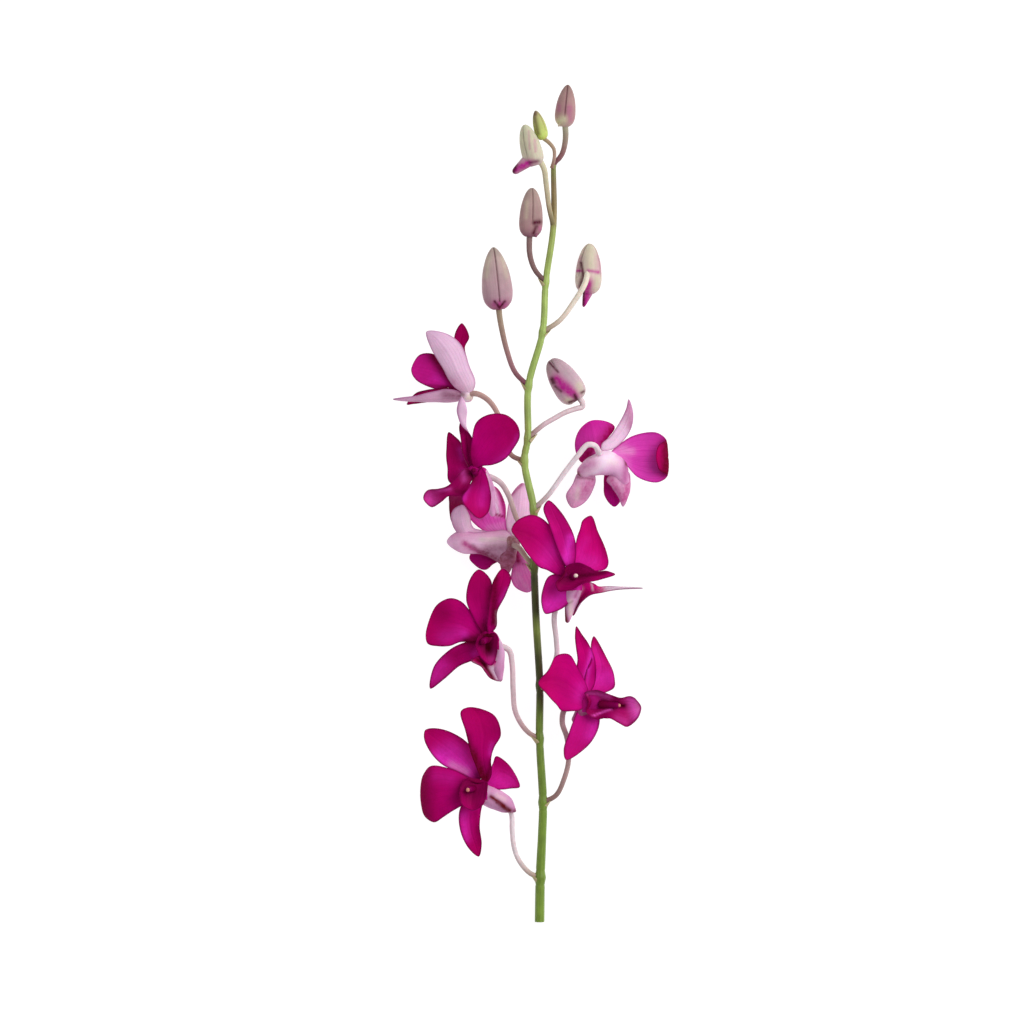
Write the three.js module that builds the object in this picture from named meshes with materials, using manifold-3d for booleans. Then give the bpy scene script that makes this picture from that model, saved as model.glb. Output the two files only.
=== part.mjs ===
// A cut dendrobium orchid spray, lying on a flat surface: one green flower stem (the rachis) with
// eight open blooms and seven buds, each on its own stalk. Millimetres, +Y along the stem from the
// cut end to the youngest bud, +Z up from the surface.

import * as THREE from 'three';
import { mergeVertices } from 'three/addons/utils/BufferGeometryUtils.js';
import Module from 'manifold-3d';

const wasm = await Module();
wasm.setup();

// Driving dimensions
const TEPAL_THICKNESS = 0.7; // sepals and petals
const LIP_THICKNESS = 0.8;
const CLEARANCE = 0.3; // between pieces that touch
const TEPAL_ROWS = 6; // steps from base to tip
const PETAL_COLUMNS = 4; // steps from edge to edge
const SEPAL_COLUMNS = 2;
const STALK_SIDES = 6;
const STALK_RADIUS = 1.05;
const STALK_SWELLING = 1.24; // radius where a stalk swells into the ovary over that at the stem
const RACHIS_SIDES = 8;
const NODE_SWELLING = 1.22; // stem radius at a node over the radius beside it
const NODE_REACH = 0.15; // how far a swelling reaches, over the way to the stem's next point
const BRACT_LENGTH = 5;
const BRACT_RADIUS = 1.5;
const BRACT_TIP_RADIUS = 0.3;
const BRACT_SIDES = 5;
const MENTUM_SIDES = 7;
const COLUMN_FOOT_RADIUS = 1.76;
const COLUMN_END_RADIUS = 1.36;
const COLUMN_SIDES = 7;
const CAP_RADIUS = 1.25;
const BUD_SIDES = 9;
const BUD_RIDGE = 0.04; // how far the three sepals of a bud bulge, over its radius
const BUD_CHIN_SIDES = 6;
const SLOPE_STEP = 0.05; // share of a blade's length over which its slope is measured
const ACROSS_STEP = 0.2; // the same from its middle to its edge
const END_MARGIN = 0.06; // its slope near an end is the one this share of its length inwards
const TABLE = [400, 500, 20]; // the surface that trims what rests on it

const LOOKS = {
  stem: { colour: '#7d9c3a', roughness: 0.5 },
  tepals: { colour: '#b5007d', roughness: 0.55 },
  lip: { colour: '#7d0050', roughness: 0.5 },
  column: { colour: '#a3106f', roughness: 0.5 },
  cap: { colour: '#e9c9b4', roughness: 0.45 },
  stalk: { colour: '#d9b0bf', roughness: 0.5 },
  budStalk: { colour: '#b79a8c', roughness: 0.5 },
};
const BUD_ROUGHNESS = 0.5;

// The stem: points from the cut end to the tip, with the radius at each
const RACHIS = [
  { at: [3.5, -184.1, 1.85], radius: 2.1 },
  { at: [3.8, -164.5, 4.5], radius: 2.05 },
  { at: [4.6, -146, 7.0], radius: 1.85 },
  { at: [5.0, -131.5, 9.0], radius: 1.8 },
  { at: [3.5, -103.5, 13.0], radius: 1.65 },
  { at: [3.6, -80.0, 16.0], radius: 1.6 },
  { at: [2.0, -51.5, 19.5], radius: 1.6 },
  { at: [1.1, -28, 21.5], radius: 1.6 },
  { at: [1.0, -16, 22.3], radius: 1.6 },
  { at: [0.9, -2.5, 23.0], radius: 1.6 },
  { at: [-3.2, 18.7, 23.5], radius: 1.55 },
  { at: [-1.7, 28.8, 23.5], radius: 1.5 },
  { at: [-1.4, 51.7, 23.0], radius: 1.5 },
  { at: [4.8, 75.5, 22.0], radius: 1.45 },
  { at: [6.2, 97.5, 21.0], radius: 1.4 },
  { at: [9.6, 122.5, 20.0], radius: 1.35 },
  { at: [9.6, 149, 19.0], radius: 1.1 },
];

// Each node is a place on the stem where a stalk leaves it, with the side it leaves to
const NODES = [
  { at: 1, towards: [-1, 0.4, 0.2] },
  { at: 3, towards: [1, 0.4, 0.3] },
  { at: 4, towards: [-1, 0.5, 0.3] },
  { at: 5, towards: [1, 0.8, 0.4] },
  { at: 7, towards: [-1, 1, -0.4] },
  { at: 8, towards: [-1, 0.8, -0.3] },
  { at: 9, towards: [1, 0.8, 0.2] },
  { at: 10, towards: [-1, 0.4, -0.3] },
  { at: 11, towards: [1, 0.6, -0.2] },
  { at: 12, towards: [-1, 0.8, -0.3] },
  { at: 13, towards: [1, 0.6, -0.5] },
  { at: 14, towards: [-1, 1, 0.2] },
];

// A blade (sepal, petal or lip) runs from its base to its tip between a left and a right edge, as
// seen from its inner face. Its middle lies behind the edges by cup times its width. Points are
// measured from the centre of the bloom.
const BLOOMS = [
  {
    name: 'bloom_1',
    centre: [-26, -125, 22],
    core: { at: [1.8, -0.6, -3.6], radii: [4.4, 4.4, 3.2] },
    mentum: {
      path: [[3, -2, -5], [9, -4.6, -6.5], [14, -7.1, -7], [18.5, -10.2, -7.5]],
      radii: [4.4, 4.8, 4.1, 0.9],
    },
    column: [[1, -0.5, -2], [-2, -1, 3.5]],
    petals: {
      left_petal: {
        base: [1, -1, -3.5], tip: [-22.6, -2, -10], cup: -0.05,
        left: [[-2, -6.5, -3], [-6.5, -9, -2.5], [-12.5, -12.7, -4], [-17, -15.3, -6], [-21.2, -12, -9]],
        right: [[-1, 3.6, -3], [-6, 6.9, -1.8], [-12, 9, -3.5], [-18, 9.6, -6], [-21.8, 5.8, -9]],
      },
      right_petal: {
        base: [5, 0, -2.5], tip: [-1.5, 35.4, 0.5], cup: 0.1,
        left: [[3.9, 3.4, -1], [2, 8, 0.4], [-0.8, 15.5, 2], [-3.2, 25, 2.2], [-5.2, 33.4, 0.5]],
        right: [[8.4, 5.5, -1], [8.2, 12.2, 0.8], [9.6, 17.6, 3], [12.6, 23.5, 4.5], [9.5, 32, 3]],
      },
    },
    sepals: {
      dorsal_sepal: {
        base: [2.5, 0.5, -4], tip: [-20.8, 25.3, -7], cup: 0.05,
        left: [[-2, 4.6, -3.2], [-7, 7.2, -3], [-13, 9.9, -4], [-18.5, 15.5, -5.5], [-21.3, 21.5, -6.5]],
        right: [[4, 6, -3], [3, 12, -2.6], [-2.2, 19.8, -3], [-10.5, 24.9, -5], [-17.5, 26.2, -6.5]],
      },
      left_lateral_sepal: {
        base: [0, -3, -4], tip: [2.8, -30.3, -8], cup: 0.08,
        left: [[4.2, -6, -4], [3.7, -11, -4], [3.2, -17, -4.5], [4.1, -25, -6.5]],
        right: [[-5, -8, -4], [-6.1, -14.3, -3.5], [-4.4, -22, -5.5], [-1, -27.6, -7.5]],
      },
      right_lateral_sepal: {
        base: [4, -1, -4.5], tip: [20.8, 0.3, -5], cup: 0.05,
        left: [[7, 6, -4], [9.1, 11, -3.4], [10.4, 13.9, -3], [16, 10.2, -3.5]],
        right: [[7, -0.9, -4.8], [10.5, -0.9, -5], [14, -0.8, -5.3], [17.5, -0.4, -5.3]],
      },
    },
    lip: {
      base: [2, 4, -1], tip: [0, -9.8, 4.5], cup: 0.28,
      left: [[6.3, 3, 1], [6.4, -2.5, 3], [4.4, -8, 3.5]],
      right: [[-3, 4, 1], [-5.6, -0.5, 3], [-5, -7, 4]],
    },
    stalk: [
      [3.8, -164.5, 4.5], [-0.7, -162.6, 5.5], [-5.1, -157.7, 8], [-7.5, -152, 10], [-8.5, -144, 11.5],
      [-9, -136, 12], [-14, -129, 13], [-23, -126, 16],
    ],
  },
  {
    name: 'bloom_2',
    centre: [26, -86, 20],
    core: { at: [1, -1, -2], radii: [4.5, 4.5, 3.2] },
    mentum: { path: [[-1, -2, -3], [-7, -9, -5]], radii: [4, 1.5] },
    column: [[4, -2.3, 0], [12.5, -2.8, 3]],
    petals: {
      left_petal: {
        base: [0, 0, -1], tip: [-23, 7, 7], cup: 0.06,
        left: [
          [-4, -4.6, -0.5], [-8.5, -5.4, 2], [-12.5, -5.2, 4], [-15.5, -2.2, 5.3], [-19.5, 2.3, 6.4],
        ],
        right: [[-2, 7, 0], [-5.5, 14, 1.2], [-9.8, 19.8, 3], [-15.3, 18.9, 5], [-18, 13.6, 6.4]],
      },
      right_petal: {
        base: [0.5, 0, -2], tip: [1.4, 27.6, -2], cup: 0.1,
        left: [[-2.6, 6, -0.8], [-2, 12, -0.5], [0.3, 18, -0.6], [0.2, 24.3, -1.2]],
        right: [[6, 2.5, -3.4], [10.2, 5, -5], [10.4, 11, -5.4], [5.2, 21.8, -3.6]],
      },
    },
    sepals: {
      dorsal_sepal: {
        base: [-1, 1, -1.5], tip: [-6.3, 32, 3], cup: 0.08,
        left: [[-4.3, 7, -0.8], [-6, 13, 0.8], [-6, 18, 1.8], [-6.7, 24, 2.6], [-6.9, 28.5, 3]],
        right: [[2, 7, -1.8], [2.4, 13, -1.6], [1.6, 19, -0.6], [-0.9, 24.4, 1.2], [-3.7, 28.4, 2.5]],
      },
      left_lateral_sepal: {
        base: [0, -1, -2.5], tip: [-10.8, -26.8, -2.5], cup: 0.08,
        left: [[3.5, -6, -2.5], [4, -10.5, -2.2], [2.2, -16, -2], [-3, -22.3, -2]],
        right: [[-5, -4, -2], [-8, -10.5, -0.8], [-10, -16, -0.8], [-11.9, -22.5, -1.8]],
      },
      right_lateral_sepal: {
        base: [1, -4, -3], tip: [8, -6, -17], cup: 0.1,
        left: [[5, -1, -7], [8, -1, -13]],
        right: [[4, -8, -8], [9, -8.3, -13]],
      },
    },
    lip: {
      base: [0, -2, 0], tip: [22.3, -3.8, 1], cup: 0.32,
      left: [
        [-2.5, 2.8, 1.8], [3, 4, 3], [8.3, 2, 4.5], [13, 0.7, 5], [17.5, 1.4, 4], [20.6, -0.6, 2.5],
      ],
      right: [
        [-2.2, -5.5, 1.5], [2, -8.9, 2.5], [8, -8.4, 4], [12.3, -10.6, 3], [16.4, -12.4, 2.2],
        [20.8, -8.2, 1.5],
      ],
    },
    stalk: [
      [5, -131.5, 9], [10.8, -128.3, 10.5], [14.3, -121.2, 12], [16.3, -112.9, 13], [15.6, -103.2, 13.5],
      [13.5, -96, 13.5], [15, -90, 14], [25, -87, 16],
    ],
  },
  {
    name: 'bloom_3',
    centre: [-20, -60, 24],
    core: { at: [1.2, 0.3, -2.8], radii: [4.2, 4.2, 3.2] },
    mentum: {
      path: [[3, 1, -4], [6, -4.5, -4.5], [5.3, -12, -4.5], [6.2, -17.3, -4]],
      radii: [2.6, 2.1, 2.9, 1.2],
    },
    column: [[0.5, 0.5, -2], [-1.5, -1, 4]],
    petals: {
      left_petal: {
        base: [0, 0.5, -3.5], tip: [-26.5, 3, -7.5], cup: 0.04,
        left: [[-6, -0.9, -3], [-11.5, -1, -3], [-16, -2.7, -3.6], [-21, -2.8, -5], [-25.8, -1.6, -7]],
        right: [[-3, 6.5, -3.4], [-6.8, 12.5, -3], [-11, 17, -4], [-16, 18.4, -5], [-22, 15, -6.5]],
      },
      right_petal: {
        base: [1, 1.5, -1.5], tip: [7.3, 31.4, 4.5], cup: 0.12,
        left: [[0.2, 6.5, 0.5], [1, 13, 1.7], [1.8, 19.5, 2.6], [3.6, 27, 3.6]],
        right: [[4.6, 6, -0.5], [5, 12.5, 1.5], [9, 20.5, 4.6], [10.9, 28, 5.5]],
      },
    },
    sepals: {
      dorsal_sepal: {
        base: [-0.5, 1.5, -2.8], tip: [-3.2, 31, -2], cup: 0.06,
        left: [[-4, 6.5, -2.2], [-7, 12.3, -2], [-8.8, 18, -2.2], [-7.3, 26.5, -2.2]],
        right: [[2.2, 6.5, -1], [3, 13, -0.8], [3, 19, -0.8], [2, 26.6, -1.2]],
      },
      left_lateral_sepal: {
        base: [0.5, -2, -3.5], tip: [-24.6, -21.4, -8], cup: 0.08,
        left: [[-3, -8.2, -3], [-7.5, -9.7, -3.2], [-12, -11.7, -4.2], [-18.5, -17.3, -6.2]],
        right: [[-6, -0.4, -3.4], [-11.5, -1.8, -3.3], [-16.5, -4.6, -4], [-23, -11.7, -6.2]],
      },
      right_lateral_sepal: {
        base: [6, -13, -3], tip: [-6.5, -9.2, 6], cup: 0.12,
        left: [[6.5, -18, -3.5], [1.5, -16.8, 0], [-1.6, -12.2, 4.5]],
        right: [[4, -9, -2], [0.5, -8.4, 1.5], [-2.8, -7, 3.4]],
      },
    },
    lip: {
      base: [1.5, 3, -1], tip: [2.3, -11.2, 4], cup: 0.28,
      left: [[5, 2.5, 1], [4.9, -3.5, 2.5], [4.2, -9, 3]],
      right: [[-2.5, 2.5, 1.5], [-4.6, -1.5, 3.5], [-2.6, -7.5, 4.5]],
    },
    stalk: [
      [3.5, -103.5, 13], [-1, -101, 13.5], [-4.5, -97, 14], [-7.3, -90.9, 15.5], [-8.1, -82, 17],
      [-8.6, -70, 18.5], [-10, -64.5, 19], [-17, -61.5, 20],
    ],
  },
  {
    name: 'bloom_4',
    centre: [18, -33, 30],
    core: { at: [0, -0.5, -3.5], radii: [4.2, 4.4, 3.2] },
    mentum: { path: [[1, -4, -4], [-0.5, -10, -5], [-2.2, -18.5, -5]], radii: [3.5, 3.1, 1.15] },
    column: [[-0.5, 0.5, -2], [1.5, 1.3, 4.5]],
    petals: {
      left_petal: {
        base: [-1, 0, -3], tip: [-26.8, 21.3, 4], cup: 0.05,
        left: [[-7.2, 1.6, -2], [-11, 3.6, -0.5], [-15, 5.2, 1.6], [-19, 9.8, 2.8], [-23.5, 16.3, 3.8]],
        right: [
          [-4.2, 8, -1], [-7.2, 16, 0.6], [-11, 24.6, 1.5], [-17.5, 28.1, 2.4], [-24.6, 25.4, 3.6],
        ],
      },
      right_petal: {
        base: [1.5, 0.5, -2.8], tip: [8.3, 27.6, -3], cup: 0.08,
        left: [[0.2, 7, -1], [1.2, 14, -0.8], [2.8, 20.5, -1.2], [4.6, 25.8, -2]],
        right: [[7.5, 2.8, -3.4], [15, 4.4, -6], [15.4, 10.5, -6.2], [11.2, 21, -4.4]],
      },
    },
    sepals: {
      dorsal_sepal: {
        base: [-1, 1.5, -2], tip: [-10.6, 34.4, 4], cup: 0.07,
        left: [[-5, 9, 0.8], [-8, 16.5, 2], [-10.5, 24, 3], [-12.8, 31, 4]],
        right: [[1.4, 8, -0.2], [1.5, 15, 0.6], [0.2, 20.3, 1.6], [-5.2, 29.6, 3.4]],
      },
      left_lateral_sepal: {
        base: [-1.5, -1, -3.5], tip: [-12, -15.4, -3.5], cup: 0.08,
        left: [[1, -5.5, -3.2], [-1, -9.8, -2.6], [-3.3, -12.4, -2.6], [-7.5, -14.6, -3]],
        right: [[-6.5, 2, -3.2], [-10.6, 0.9, -3], [-13.2, -5, -3.2], [-13.7, -10.8, -3.5]],
      },
      right_lateral_sepal: {
        base: [1.5, -6, -4.2], tip: [31, -4.2, -11], cup: 0.05,
        left: [[5.2, -1.6, -5.5], [8.8, -1.6, -7], [12, -3.4, -9], [21, -3.4, -11]],
        right: [[0.2, -16.4, -5], [3.4, -11, -2], [9.6, -6.6, 1], [20, -4.7, -4]],
      },
    },
    lip: {
      base: [-1.5, 1, -0.5], tip: [18.8, 1.9, 3], cup: 0.22,
      left: [[-3.2, 5.2, 2], [2, 7, 3], [7, 5.6, 3], [10.5, 3.3, 3], [15.5, 3.3, 3]],
      right: [[-7.3, -1.5, 3], [-6.3, -5.2, 4.5], [-1, -5.2, 5], [5, -2.2, 5], [12.5, -0.4, 4]],
    },
    stalk: [
      [3.6, -80, 16], [8, -74, 16.5], [11, -67, 17.5], [10.9, -60, 19], [10, -50, 21], [12, -42, 22.5],
      [17, -35, 25],
    ],
  },
  {
    name: 'bloom_5',
    centre: [-7, -17, 15],
    core: { at: [-2, -1, -2.5], radii: [4, 4, 3] },
    mentum: { path: [[-1, -1, -1], [-3.5, -7, -2], [-4.3, -12, -3]], radii: [2.2, 3.8, 2.2] },
    column: [[-4, -2, -4], [-10, -4, -9]],
    petals: {
      left_petal: {
        base: [-3, 1, -4], tip: [-18, 24, -7], cup: 0.06,
        left: [[-4.3, 9, -5], [-4.6, 17, -6], [-9, 24.5, -7]],
        right: [[-14.5, 5.3, -6], [-19.5, 9.5, -7], [-24, 15.5, -7]],
      },
      right_petal: {
        base: [-1, -2, -3], tip: [5.5, -22, -7], cup: 0.08,
        left: [[-1.2, -9, -5], [-2, -16, -6], [0, -20, -6.5]],
        right: [[4, -6, -5], [8, -12, -6], [9.5, -18, -7]],
      },
    },
    sepals: {
      dorsal_sepal: {
        base: [-1, 1, -3], tip: [3, 26, -7], cup: 0.08,
        left: [[5, 8, -5], [7, 16, -6], [6.5, 23, -6.5]],
        right: [[-4.2, 6, -5], [-3.8, 13, -6], [-1.9, 21, -7]],
      },
      left_lateral_sepal: {
        base: [1, 0, -2], tip: [-30.2, 0.2, -3], cup: 0.28,
        left: [[-4, 5.2, -3.5], [-10, 5, -3], [-17.5, 4.3, -2], [-25.5, 4.8, -2.2]],
        right: [[-3, -12.5, -6], [-8.5, -8.5, -4], [-15, -5.4, -2.5], [-24, -4.7, -2.7]],
      },
      right_lateral_sepal: {
        base: [-4, 0, -5], tip: [-23.5, 16.5, 4.5], cup: 0.12,
        left: [[-13, 5, -4.5], [-18.5, 6.5, -2.5], [-20.3, 12, 1]],
        right: [[-14, -1, -5], [-22, 1, -4], [-27.6, 7, 0], [-28, 13.5, 3.5]],
      },
    },
    lip: {
      base: [-3, -3, -5], tip: [-20.3, -7, -9], cup: 0.22,
      left: [[-9, 0, -9], [-16, -1, -10]],
      right: [[-8, -8.5, -7], [-14, -12.2, -8]],
    },
    stalk: [[1.1, -28, 21.5], [-2.5, -23.5, 20.5], [-5.5, -19.5, 18.5], [-9, -18, 13.5]],
  },
  {
    name: 'bloom_6',
    centre: [-24, 12, 34],
    core: { at: [-0.5, 1.5, -4], radii: [4.2, 4, 3.2] },
    mentum: { path: [[2, 1, -4], [5, -6, -5], [6.8, -16.5, -5.5]], radii: [3.2, 3, 1.3] },
    column: [[-0.5, 0.5, -2.5], [-1.5, 2.6, 3]],
    petals: {
      left_petal: {
        base: [-2, 0, -4], tip: [-12.5, 19.4, -5], cup: 0.1,
        left: [[-7, -4, -4.5], [-12.3, -2.5, -4.8], [-13.2, 4, -5.5], [-13.5, 12, -5.5]],
        right: [[-2.5, 6, -3.4], [-4.5, 10, -3.2], [-6.8, 14.6, -3.6], [-9.6, 17.5, -4.4]],
      },
      right_petal: {
        base: [-1, 2, -3], tip: [17.4, 23, 7], cup: 0.06,
        left: [[-3, 9, -0.5], [-2.2, 16.8, 1], [-0.5, 23.6, 2.5], [5, 27.2, 4], [12.5, 27.2, 6]],
        right: [[2, 4.3, -0.5], [7, 5, 1.8], [12.5, 7.6, 4], [16, 12, 5.5], [18.9, 18, 7]],
      },
    },
    sepals: {
      dorsal_sepal: {
        base: [-2.5, 2, -4], tip: [-7, 35, 0], cup: 0.42,
        left: [[-6.3, 10, -1], [-7.2, 16.5, -0.5], [-7.9, 23, -2.5], [-5, 29, -2.8]],
        right: [[-1, 9, -1.5], [-2, 16.6, -0.8], [-6.6, 22.4, 2.6], [-9, 29, 1.5]],
      },
      left_lateral_sepal: {
        base: [-2, -1, -5], tip: [-11, -20, -27], cup: 0.06,
        left: [[-5, -8, -10], [-6, -13, -19], [-8, -17, -24]],
        right: [[-11.5, -7, -9], [-12.3, -12, -18], [-12, -17, -24]],
      },
      right_lateral_sepal: {
        base: [1.8, 4.2, -1], tip: [1, -18.6, 1], cup: 0.08,
        left: [[4, 1, -0.2], [5.6, -4.5, -0.2], [6.2, -10, -0.3], [5, -15.8, 0]],
        right: [[-0.6, 0.6, 0.2], [-3.4, -4, 0.6], [-6.8, -9.8, 1.6], [-3.6, -15, 1.8]],
      },
    },
    lip: {
      base: [-2, 1.5, -1], tip: [-23.6, -9.8, 2], cup: 0.28,
      left: [
        [-3.5, -4.5, 2.5], [-7, -8.4, 4], [-12.5, -8.8, 4.5], [-15.8, -11.4, 3.8], [-20, -13.6, 2.8],
      ],
      right: [[-5.2, 3.6, 2.5], [-10, -1.5, 5], [-13, -4.2, 4.8], [-17, -5.4, 4], [-22, -6.2, 2.8]],
    },
    stalk: [
      [1, -16, 22.3], [-2.5, -11.5, 21.5], [-6.3, -7, 21.5], [-8.3, -1.5, 22.5], [-10.3, 4, 24],
      [-13.5, 9, 26], [-17.5, 11.5, 27.5], [-24, 13.5, 30],
    ],
  },
  {
    name: 'bloom_7',
    centre: [29, 23, 20],
    core: { at: [3.5, -4.5, -3], radii: [6.5, 5, 4] },
    mentum: {
      path: [[-6.2, -8.8, -3], [-2.2, -6.6, -2.6], [3.5, -5.4, -2.4], [8.6, -7, -3], [11.2, -12.5, -4]],
      radii: [2.9, 4.4, 5.3, 4.6, 2.9],
    },
    column: [[4, -5, -5], [5, -10, -10]],
    petals: {
      left_petal: {
        base: [1, -1, -3], tip: [-3, 13.3, -5.5], cup: 0.12,
        left: [[3.5, 4, -4], [7.6, 10.8, -4.5], [3.5, 13.3, -5]],
        right: [[-6.8, -5, -4], [-9.9, 1.5, -5], [-8.4, 8.9, -5.5]],
      },
      right_petal: {
        base: [5, -1, -4], tip: [25.8, -2.5, 1.4], cup: -0.05,
        left: [[11.5, -5, -4], [18, -11.6, -4], [26.5, -13.7, -4], [30.9, -10.8, -3], [27, -8, 0.6]],
        right: [[8.5, 2.2, -4], [16, 7, -4], [26, 8.3, -4], [30.1, 5.2, -3], [27, 3, 0.4]],
      },
    },
    sepals: {
      dorsal_sepal: {
        base: [1.5, 0.5, -2.5], tip: [13.7, 22.9, 1], cup: 0.1,
        left: [[6.5, 0.8, -2.5], [11.5, 4.8, -2.5], [15, 10.5, -2], [15.7, 17, -1]],
        right: [[1.8, 3.3, -2.5], [5.4, 6.5, -2.5], [9.8, 13, -2], [12.6, 18.8, 0]],
      },
      left_lateral_sepal: {
        base: [-4, -7, -3], tip: [-11, -24.8, -4], cup: 0.15,
        left: [[-8.7, -9.5, -3], [-10.8, -14, -2.6], [-13.9, -19.6, -3]],
        right: [[-0.9, -11, -4], [-1.3, -15.2, -3.6], [-5.2, -22.2, -3.8]],
      },
      right_lateral_sepal: {
        base: [9, -7, -3], tip: [11.2, -24.3, -5], cup: 0.18,
        left: [[4, -12.6, -2.5], [6.2, -15.8, -2.5], [9, -19.8, -3.5]],
        right: [[13.6, -9, -4], [14.7, -14, -5], [14, -18.5, -5.5]],
      },
    },
    lip: {
      base: [4, -6, -6], tip: [7.5, -24.3, -9], cup: 0.2,
      left: [[2.8, -12, -8], [3.3, -20, -9]],
      right: [[9, -11, -9], [11, -20, -9]],
    },
    stalk: [
      [0.9, -2.5, 23], [7.3, 3.7, 24], [14.7, 13.9, 25.5], [20.5, 21.3, 26.5], [24.6, 25.8, 26.8],
      [27.6, 25.6, 26], [30, 22, 21],
    ],
  },
  {
    name: 'bloom_8',
    centre: [-26, 47, 16],
    core: { at: [-2.5, 1, -2.5], radii: [3, 3, 3] },
    mentum: { path: [[-2, 0, -4], [-4, -1, -8]], radii: [2.5, 1.3] },
    column: [[-5, 2, -4], [-10, 4.5, -8]],
    petals: {
      left_petal: {
        base: [-3, 1, -3], tip: [-26.9, 12, -6.5], cup: 0.05,
        left: [[-11, 4.2, -3], [-16.5, 3.6, -4], [-25, 7.5, -6]],
        right: [[-10, 9.5, -2.5], [-16, 18.3, -3], [-23, 18.6, -5]],
      },
      right_petal: {
        base: [-2, 2, -3], tip: [-4.7, 32.3, -1], cup: 0.05,
        left: [[-5, 15, -3], [-8, 26.5, -2]],
        right: [[-1.5, 13, -4], [-3.3, 21.5, -3.5], [-1.4, 26.5, -2]],
      },
    },
    sepals: {
      dorsal_sepal: {
        base: [-1, 0, -1.5], tip: [-20.2, 28.6, 1.5], cup: 0.12,
        left: [[1.3, 6, 1], [-1.3, 13.5, 3], [-5, 23, 3.5], [-12, 28, 3]],
        right: [[-8, 4.3, 0], [-13, 12, 1], [-19, 23, 1.5]],
      },
      left_lateral_sepal: {
        base: [-2, 0, -3], tip: [-35, -1, -6], cup: 0.15,
        left: [[-8, 3.3, -1], [-16, 2.6, -2], [-27, 0.3, -4]],
        right: [[-7, -2.3, -5], [-18, -2.1, -7], [-29, -1.9, -7]],
      },
      right_lateral_sepal: {
        base: [-3, 0, -5], tip: [-28.8, -3.4, -14.5], cup: 0.08,
        left: [[-9, -2, -11], [-18, -2.2, -15.5], [-25, -3, -16]],
        right: [[-10, 3.5, -9], [-19, 3.4, -12], [-25, 1.5, -14]],
      },
    },
    lip: {
      base: [-4.5, 1, -5.5], tip: [-22, 9, -9], cup: 0.22,
      left: [[-9, 1.5, -9], [-17, 5, -10]],
      right: [[-9, 7, -8], [-16, 12, -8]],
    },
    stalk: [
      [-3.2, 18.7, 23.5], [-9, 21.5, 22], [-12.5, 31, 20], [-15.3, 40.3, 18.5], [-19.2, 45.6, 17.5],
      [-24, 48.3, 16.5], [-29, 48, 13.5],
    ],
  },
];

// A bud runs from its base to its tip, and is blunter the larger its blunt is. Its chin is the
// short spur near its base, with the radius at each end of it
const BUDS = [
  {
    name: 'bud_1', base: [20.2, 45.4, 18], tip: [8.3, 63.3, 18], radius: 6.6, blunt: 1.6,
    colour: '#c79ab0',
    chin: { from: [19, 50, 19], to: [16.6, 44.4, 19], radii: [2.4, 0.7] },
    stalk: [
      [-1.7, 28.8, 23.5], [5, 34.5, 22.6], [10, 37.5, 21.4], [15, 40.2, 20], [20, 41.9, 18.4],
      [22.3, 42.6, 17.6], [22.4, 44.4, 17.7], [20.6, 47, 18],
    ],
  },
  {
    name: 'bud_2', base: [-14.4, 85.4, 16], tip: [-16.8, 112.8, 16], radius: 6.7, blunt: 1.1,
    colour: '#b98a9c',
    chin: { from: [-14.5, 90, 19], to: [-14, 85.6, 20.5], radii: [2.4, 0.7] },
    stalk: [[-1.4, 51.7, 23], [-7.3, 57.9, 21.5], [-10.9, 67.5, 19], [-13.7, 80, 16.5], [-14.6, 87, 16]],
  },
  {
    name: 'bud_3', base: [24.9, 92.4, 5.2], tip: [25.6, 114.4, 5.6], radius: 5.8, blunt: 1.35,
    colour: '#c7a0a4',
    chin: { from: [25.7, 96, 5.3], to: [23, 87.2, 5.3], radii: [3, 0.85] },
    stalk: [[4.8, 75.5, 22], [12.5, 80.7, 19.5], [19.1, 89.5, 16], [23.4, 96.6, 13.2], [25, 103, 9]],
  },
  {
    name: 'bud_4', base: [-0.6, 117.4, 24], tip: [0.2, 138.9, 24], radius: 5.2, blunt: 1.35,
    colour: '#b08590',
    chin: { from: [1.2, 121.5, 25.5], to: [2, 117.6, 26.5], radii: [2.2, 0.7] },
    stalk: [[6.2, 97.5, 21], [1.6, 102.7, 22.5], [-0.7, 109.3, 23.5], [-0.9, 120, 24]],
  },
  {
    name: 'bud_5', base: [2, 148.8, 23], tip: [-3.1, 166.7, 23.2], radius: 4.7, blunt: 1.35,
    colour: '#ccc0a4',
    chin: { from: [-0.5, 151.8, 23], to: [-7, 146.4, 23], radii: [3.2, 1.6] },
    stalk: [[9.6, 122.5, 20], [7.8, 130, 22.2], [6.5, 140, 22.5], [5.4, 147.5, 22.8], [2.6, 152.5, 23]],
  },
  {
    name: 'bud_6', base: [5.1, 160.2, 20.5], tip: [1.7, 172.9, 20.5], radius: 2.9, blunt: 1.2,
    colour: '#b9c46c', stalkRadius: 0.7,
    stalk: [
      [8.9, 147.6, 20.4], [9.7, 150.5, 20.5], [10.1, 153.2, 20.5], [9.8, 156, 20.6], [8, 158.5, 20.6],
      [4.8, 161.1, 20.5],
    ],
  },
  {
    name: 'bud_7', base: [14.3, 165.8, 16.5], tip: [16, 184.3, 16], radius: 4.5, blunt: 1.15,
    colour: '#b58d92',
    chin: { from: [13.5, 170, 17.5], to: [12, 166.2, 18], radii: [2, 0.6] },
    stalk: [
      [9.6, 148.6, 17.7], [10.4, 150.2, 17.6], [12.2, 152, 17.6], [13.6, 154.3, 17.4], [14.6, 158, 17.2],
      [15, 162, 16.9], [14.7, 168, 16.5],
    ],
  },
];

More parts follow.
